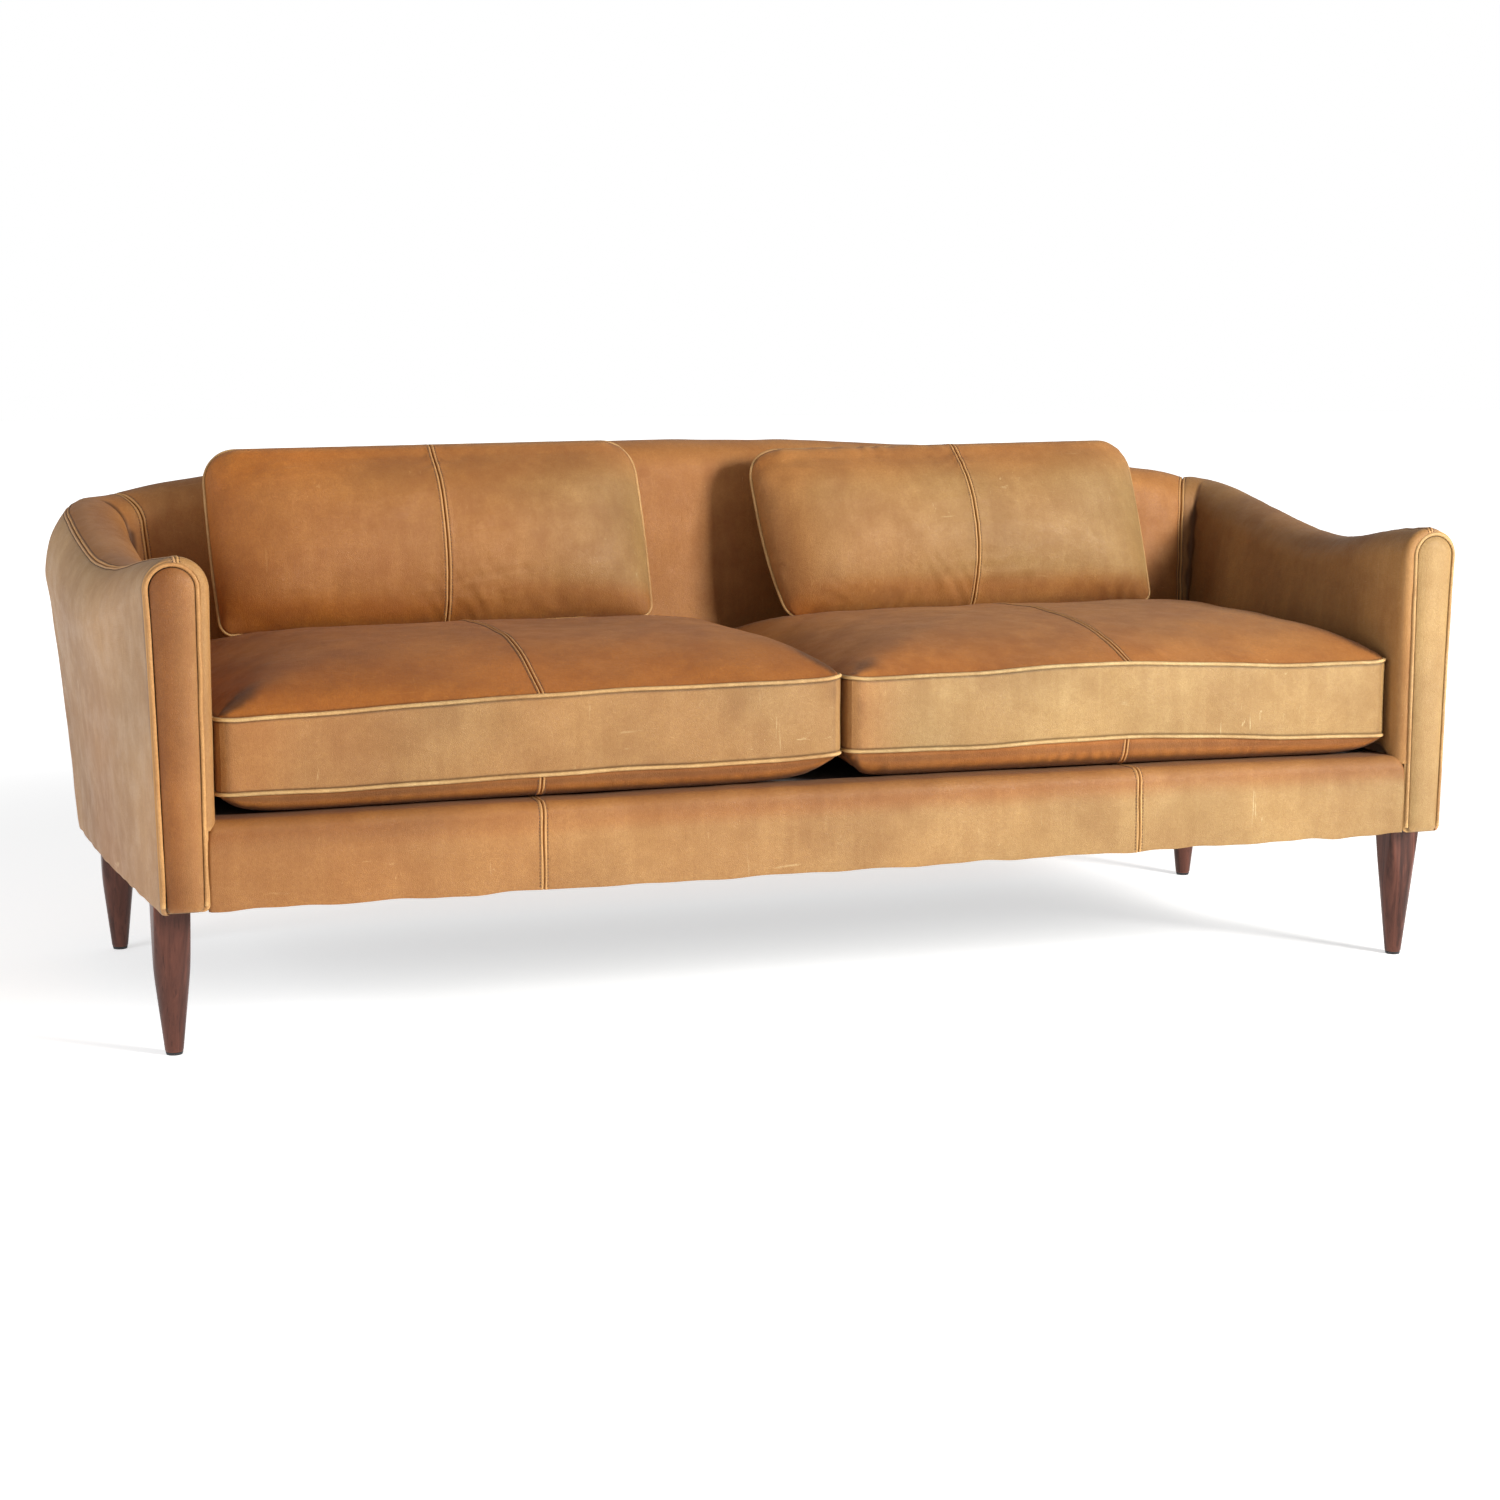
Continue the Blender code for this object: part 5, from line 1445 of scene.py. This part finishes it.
# ---------------------------------------------------------------- finished seat cushions
for (word, side), points in zip(SIDES, filled[:2]):
    name = "seat_cushion_casing_" + word
    index, _, _ = lattice(SEAT_COUNTS)
    lengths = (2 * SEAT_HALF[0], 2 * SEAT_HALF[1], SEAT_EDGE_Z[1] - SEAT_EDGE_Z[0])
    seams = ([SEAT_HALF[0]], [], [])
    places = [ruled(length, [0.0, *marks, length], step) / length * (n - 1)
              for length, marks, step, n in zip(lengths, seams, SEAT_STEPS, SEAT_COUNTS)]
    top = points[index[:, :, -1]][..., 2].max()
    wanted = SEAT_EDGE_Z[1] + SEAT_CROWN + 0.001
    raise_by = (wanted - SEAT_EDGE_Z[1]) / (top - SEAT_EDGE_Z[1])
    high = points[:, 2] > SEAT_EDGE_Z[1]
    points = points.copy()
    points[high, 2] = SEAT_EDGE_Z[1] + (points[high, 2] - SEAT_EDGE_Z[1]) * raise_by
    fine, fine_index, quads = refine(points, index, places)
    abc = shell_coordinates(places, SEAT_COUNTS)
    a, b, c = abc.T
    level_part = (b >= 1) * smooth((0.74 - np.abs(a)) / 0.10) * smooth((0.70 - np.abs(c)) / 0.25)
    fine[:, 1] += (SEAT_Y[1] - 0.0016 - fine[:, 1]) * level_part
    flat_x, flat_y = a * SEAT_HALF[0], b * SEAT_HALF[1]
    on_panel = np.abs(c) >= 1
    rim_away = np.minimum(SEAT_HALF[0] - np.abs(flat_x), SEAT_HALF[1] - np.abs(flat_y))
    edge = np.where(on_panel, rim_away, (1 - np.abs(c)) * lengths[2] / 2)
    seam = np.where(on_panel, np.abs(flat_x), 1.0)
    lift = seam_valley(seam)
    lift += 0.0006 * gathers(fine, flat_y, 0.019, 6, seam, 0.014, 0.004)
    lift -= 0.0017 * hump(edge, 0.0, 0.0030)
    run = np.where(np.abs(flat_x) > SEAT_HALF[0] - 0.02, flat_y, flat_x)
    gathered = gathers(fine, run, 0.026, 8 + side, edge, 0.016, 0.005)
    lift += np.where(on_panel, 0.0006, 0.00025) * gathered
    lift += 0.0018 * ripple(fine, 0.24, 12 + side) * smooth(edge / 0.05) * on_panel
    lift += 0.0006 * ripple(fine, 0.075, 14 + side) * smooth(edge / 0.03)
    shaped, out = lifted(fine, quads, lift)
    below = c <= -1
    left_turn, right_turn = BELLY_TURN[word]
    round_off = 1 - np.exp(-(1 + a) * SEAT_HALF[0] / left_turn)
    round_off *= 1 - np.exp(-(1 - a) * SEAT_HALF[0] / right_turn)
    round_off *= 1 - np.exp(-np.maximum((1 + b) * SEAT_HALF[1] - 0.001, 0.0) / 0.0062)
    start = SEAT_EDGE_Z[0] + edge_wave(a, -1.0, word, "lower")
    resting = RAIL_COVER_TOP + 0.0006 - rail_drop(shaped[:, 0])
    sagging = start + (resting - start) * round_off
    share = smooth((-b - 0.60) / 0.30) * below * smooth(edge / 0.006)
    shaped[:, 2] += (sagging - shaped[:, 2]) * share
    rest_on_top = c >= 1
    shaped[rest_on_top] = pressed(shaped[rest_on_top], dents[word])
    stuff = hide("seat_" + word)
    piece = solid(name, shaped, quads, stuff, wear_and_shade_depth=0.0016)
    rub_and_highlight(piece, seam)
    # Painted light and shade: the top panel is deeper and redder as shade, more so at the front and
    # on the left cushion; the boxing is paler and golden where the light falls, deeper at its left
    # end where it lies in shade; the belly below is deep as it faces down. A dimmed band about 4 mm
    # in from each edge is a painted shadow beside the welts, and the left cushion is a little
    # dimmer than the right.
    front = smooth((-b - 0.55) / 0.40)
    start = smooth((-a - 0.70) / 0.30)
    tone_and_light = np.where(on_panel, -0.43 + 0.24 * side + 0.16 * a - 0.28 * front,
                    0.72 + 0.22 * side + 0.12 * a - 0.45 * start)
    dim = np.where(on_panel, 0.04 - 0.04 * side, 0.07 - 0.05 * side - 0.02 * a)
    dim = dim + 0.42 * hump(edge, 0.0040, 0.0016)
    tint(piece, np.where(c <= -1, -0.55, tone_and_light), dim)
    body = "seat_cushion_" + word
    settle(piece, body, "leather_tan", name, "seat_foam_core_" + word)
    stuff = welt_hide("seat_" + word)
    for level, level_word in ((0, "lower"), (-1, "upper")):
        path = even_loop(fine[rim(fine_index, level)], 0.0055)
        welt = solid("seat_welt_" + level_word + "_" + word,
                     *tube(path, SEAT_WELT, 10, True, 0.05, 5 + level), stuff, wear_and_shade_depth=WELT_WEAR_AND_SHADE_DEPTH)
        settle(welt, body, "leather_welt")
        # Painted light: the right cushion's welts are a little paler.
        tint(welt, 0.62 + 0.1 * side)
    picks = beside_seam(fine_index, places[0], SEAT_COUNTS[0], lengths[0], 0.0, 4)
    add_stitches("seat_stitches_" + word, [(shaped[pick], out[pick]) for pick in picks], body)

# ---------------------------------------------------------------- zips
TOOTH_PITCH = 0.0026
TOOTH = (0.0014, 0.0030, 0.0011)      # along, across, proud
ZIP_LIP = 0.0013
ZIP_HALF = {"seat": 0.0068, "pillow": 0.0050}


def block(centre, size):
    """Points and faces of a small box with its top edges drawn in."""
    points = []
    for z, share in ((-0.5, 1.0), (0.2, 1.0), (0.5, 0.66)):
        for x, y in ((-0.5, -0.5), (0.5, -0.5), (0.5, 0.5), (-0.5, 0.5)):
            points.append((centre[0] + x * size[0] * share, centre[1] + y * size[1] * share,
                           centre[2] + z * size[2]))
    return np.array(points), [(3, 2, 1, 0), (8, 9, 10, 11)] + ring_faces(3, 4)


def plate(outline, low, high, soft):
    """Points and faces of a flat plate with softened upper edges."""
    outline = np.asarray(outline, float)
    middle = outline.mean(axis=0)
    reach = np.linalg.norm(outline - middle, axis=1).mean()
    rings = []
    levels = ((low, 0.0), (high - soft, 0.0), (high - soft * 0.3, soft * 0.35), (high, soft))
    for z, inset in levels:
        flat = middle + (outline - middle) * (1 - inset / reach)
        rings.append(np.column_stack([flat, np.full(len(flat), z)]))
    count = len(outline)
    return np.concatenate(rings), end_faces(4, count) + ring_faces(4, count)


OVAL_POINTS = 28


def oval(half_x, half_y, power):
    angles = tau * np.arange(OVAL_POINTS) / OVAL_POINTS
    c, n = np.cos(angles), np.sin(angles)
    return np.column_stack([half_x * np.sign(c) * np.abs(c) ** (2 / power),
                            half_y * np.sign(n) * np.abs(n) ** (2 / power)])


def from_zip(points, origin, axes):
    """Points given along, across and out of a zip, in the world."""
    return np.asarray(origin) + np.asarray(points) @ np.asarray(axes)


def zip_strip(kind, word, body, origin, axes, length):
    """Tape, two rows of interlocked teeth, end stops and the leather lips on either side."""
    node = kind + "_zip_" + word
    half_width = ZIP_HALF[kind]
    xs = np.arange(0.0, length + 1e-6, 0.006) - length / 2
    ys = np.linspace(-half_width, half_width, 7)
    flat = np.stack(np.meshgrid(xs, ys, indexing="ij"), -1)
    wave = 0.00012 * ripple(np.concatenate([flat, flat[..., :1]], -1), 0.03, 71)
    grid = np.concatenate([flat, wave[..., None]], -1)
    points, faces = level_walled(grid, 0.0007)
    tape = solid(node + "_tape", from_zip(points, origin, axes), faces, tape_cloth)
    settle(tape, body, "black_cloth", node)
    teeth = []
    for number in range(int((length - 0.012) / TOOTH_PITCH)):
        x = 0.006 - length / 2 + number * TOOTH_PITCH
        for hand in (-1, 1):
            shift = TOOTH_PITCH * 0.25 * hand
            teeth.append(block((x + shift, hand * TOOTH[1] * 0.28, TOOTH[2] * 0.45), TOOTH))
    for hand in (-1, 1):
        teeth.append(block((hand * (length / 2 - 0.0035), 0.0, 0.0008), (0.0030, 0.0052, 0.0016)))
    points, faces = gather(teeth)
    settle(solid(node + "_teeth", from_zip(points, origin, axes), faces, brass), body, "zip_metal")
    lips = []
    for hand in (-1, 1):
        path = np.column_stack([np.linspace(-length / 2 - 0.004, length / 2 + 0.004, 120),
                                np.full(120, hand * (half_width - 0.0006)), np.full(120, 0.0004)])
        path[:, 1] += 0.0003 * ripple(path, 0.05, 72)
        lips.append(tube(from_zip(path, origin, axes), ZIP_LIP, 10))
    lip = solid(node + "_lips", *gather(lips), hide(node))
    settle(lip, body, "leather_tan")


def zip_slider(kind, word, body, origin, axes):
    """Slider body with its bridge and a pull tab lying flat."""
    node = kind + "_zip_slider_" + word
    parts = [plate(oval(0.0052, 0.0040, 3.2), 0.0004, 0.0013, 0.0004)]
    arch = np.linspace(0.0, pi, 13)
    bridge = np.column_stack([0.0034 * np.cos(arch) - 0.0004, np.zeros(13),
                              0.0012 + 0.0011 * np.sin(arch)])
    parts.append(tube(bridge, 0.00055, 8))
    ring = tau * np.arange(20) / 20
    loop = np.column_stack([-0.0052 + 0.0019 * np.cos(ring), 0.0017 * np.sin(ring),
                            np.full(20, 0.0021)])
    parts.append(tube(loop, 0.00050, 8, True))
    tab = oval(0.0055, 0.0022, 2.6)
    tab[:, 0] -= 0.0124
    parts.append(plate(tab, 0.0016, 0.0026, 0.0003))
    points, faces = gather(parts)
    piece = solid(node + "_metal", from_zip(points, origin, axes), faces, brass, sharp=40,
                  wear_and_shade_depth=0.0005)
    settle(piece, body, "zip_metal", node)


for word, side in SIDES:
    low, high = (np.array(end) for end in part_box("seat_zip_" + word))
    middle = (low + high) / 2
    axes = np.array([(-1.0, 0.0, 0.0), (0.0, 0.0, 1.0), (0.0, 1.0, 0.0)])
    origin = (middle[0], SEAT_Y[1] - 0.0008, middle[2])
    zip_strip("seat", word, "seat_cushion_" + word, origin, axes, high[0] - low[0])
    low, high = (np.array(end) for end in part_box("seat_zip_slider_" + word))
    zip_slider("seat", word, "seat_zip_slider_" + word,
               ((low[0] + high[0]) / 2, SEAT_Y[1] + 0.0001, (low[2] + high[2]) / 2), axes)
    turn = np.array(Euler(PILLOW_TURN).to_matrix())
    axes = np.array([-turn[:, 0], turn[:, 2], -turn[:, 1]])
    half_zip = PILLOW_SIZE[0] / 2 * ZIP_SHARE
    origin = np.array(PILLOW_PLACES[word]) + turn[:, 1] * (PILLOW_REACH[word][0] - 0.0006)
    zip_strip("pillow", word, "pillow_" + word, origin, axes, 2 * half_zip)
    zip_slider("pillow", word, "pillow_zip_slider_" + word,
               origin - turn[:, 1] * 0.0008 - turn[:, 0] * (half_zip - 0.0105), axes)

# ---------------------------------------------------------------- CAD nodes that stay
KEPT = ((hardwood, ("front_rail", "back_rail", "side_rail", "seat_stretcher", "front_post",
                    "rear_post", "arm_rail", "back_top_rail", "back_centre_post")),
        (steel, ("seat_springs", "hanger_bolt")),
        (black_cloth, ("back_webbing",)),
        (glide_black, ("leg_glide",)))
for node_name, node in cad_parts.items():
    if node.hide_render:
        continue
    for stuff, starts in KEPT:
        if node_name.startswith(starts):
            node.data.materials.clear()
            node.data.materials.append(stuff)

# ---------------------------------------------------------------- stage, lights and camera
FLOOR_HALF = 40.0
bpy.ops.mesh.primitive_grid_add(x_subdivisions=8, y_subdivisions=8, size=2 * FLOOR_HALF)
floor = bpy.context.object
floor.name = "floor"
floor_nodes = Nodes("floor_pale")
floor_shade = floor_nodes.mix(floor_nodes.noise(0.6), (0.86, 0.86, 0.86), (0.90, 0.90, 0.90))
floor_stuff = floor_nodes.finish(floor_shade, 0.9)
# Painted glow: the floor emits light, weakest near the sofa and growing outwards, so that it fades
# into the white background; it also lights the sofa from below.
ball = floor_nodes.add("ShaderNodeVectorMath", operation="LENGTH")
floor_nodes.link(floor_nodes.add("ShaderNodeTexCoord").outputs["Object"], ball.inputs[0])
glow = floor_nodes.spread(ball.outputs["Value"], 1.7, 4.4, 0.55, 1.0)
floor_nodes.shader.inputs["Emission Color"].default_value = (1.0, 1.0, 1.0, 1.0)
floor_nodes.link(glow, floor_nodes.shader.inputs["Emission Strength"])
floor.data.materials.append(floor_stuff)

world = bpy.data.worlds.new("studio")
bpy.context.scene.world = world
world.use_nodes = True
studio = world.node_tree
studio.nodes["Background"].inputs["Color"].default_value = (1.0, 1.0, 1.0, 1.0)
seen = studio.nodes.new("ShaderNodeLightPath")
level = studio.nodes.new("ShaderNodeMapRange")
level.inputs["To Min"].default_value = 0.34
level.inputs["To Max"].default_value = 1.0
studio.links.new(seen.outputs["Is Camera Ray"], level.inputs["Value"])
studio.links.new(level.outputs["Result"], studio.nodes["Background"].inputs["Strength"])


def soft_light(name, place, aim, size, power, colour=(1.0, 1.0, 1.0)):
    lamp = bpy.data.lights.new(name, "AREA")
    lamp.shape = "RECTANGLE"
    lamp.size, lamp.size_y = size
    lamp.energy = power
    lamp.color = colour
    thing = bpy.data.objects.new(name, lamp)
    thing.location = place
    thing.rotation_euler = (Vector(aim) - Vector(place)).to_track_quat("-Z", "Y").to_euler()
    bpy.context.scene.collection.objects.link(thing)


soft_light("key", (2.95, -3.9, 2.0), (0.1, -0.1, 0.45), (1.3, 1.3), 336.0, (1.0, 0.985, 0.955))
soft_light("fill", (-3.6, -1.2, 1.3), (-1.0, -0.1, 0.42), (1.6, 1.8), 40.0, (0.93, 0.96, 1.0))

camera = bpy.data.cameras.new("camera")
camera.sensor_width = 36.0
camera.lens = 63.9
eye = bpy.data.objects.new("camera", camera)
eye.location = (-1.383, -3.979, 0.942)
eye.rotation_euler = (radians(90 - 8.29), 0.0, radians(-19.07))
bpy.context.scene.collection.objects.link(eye)
bpy.context.scene.camera = eye
bpy.context.scene.view_settings.view_transform = "Standard"
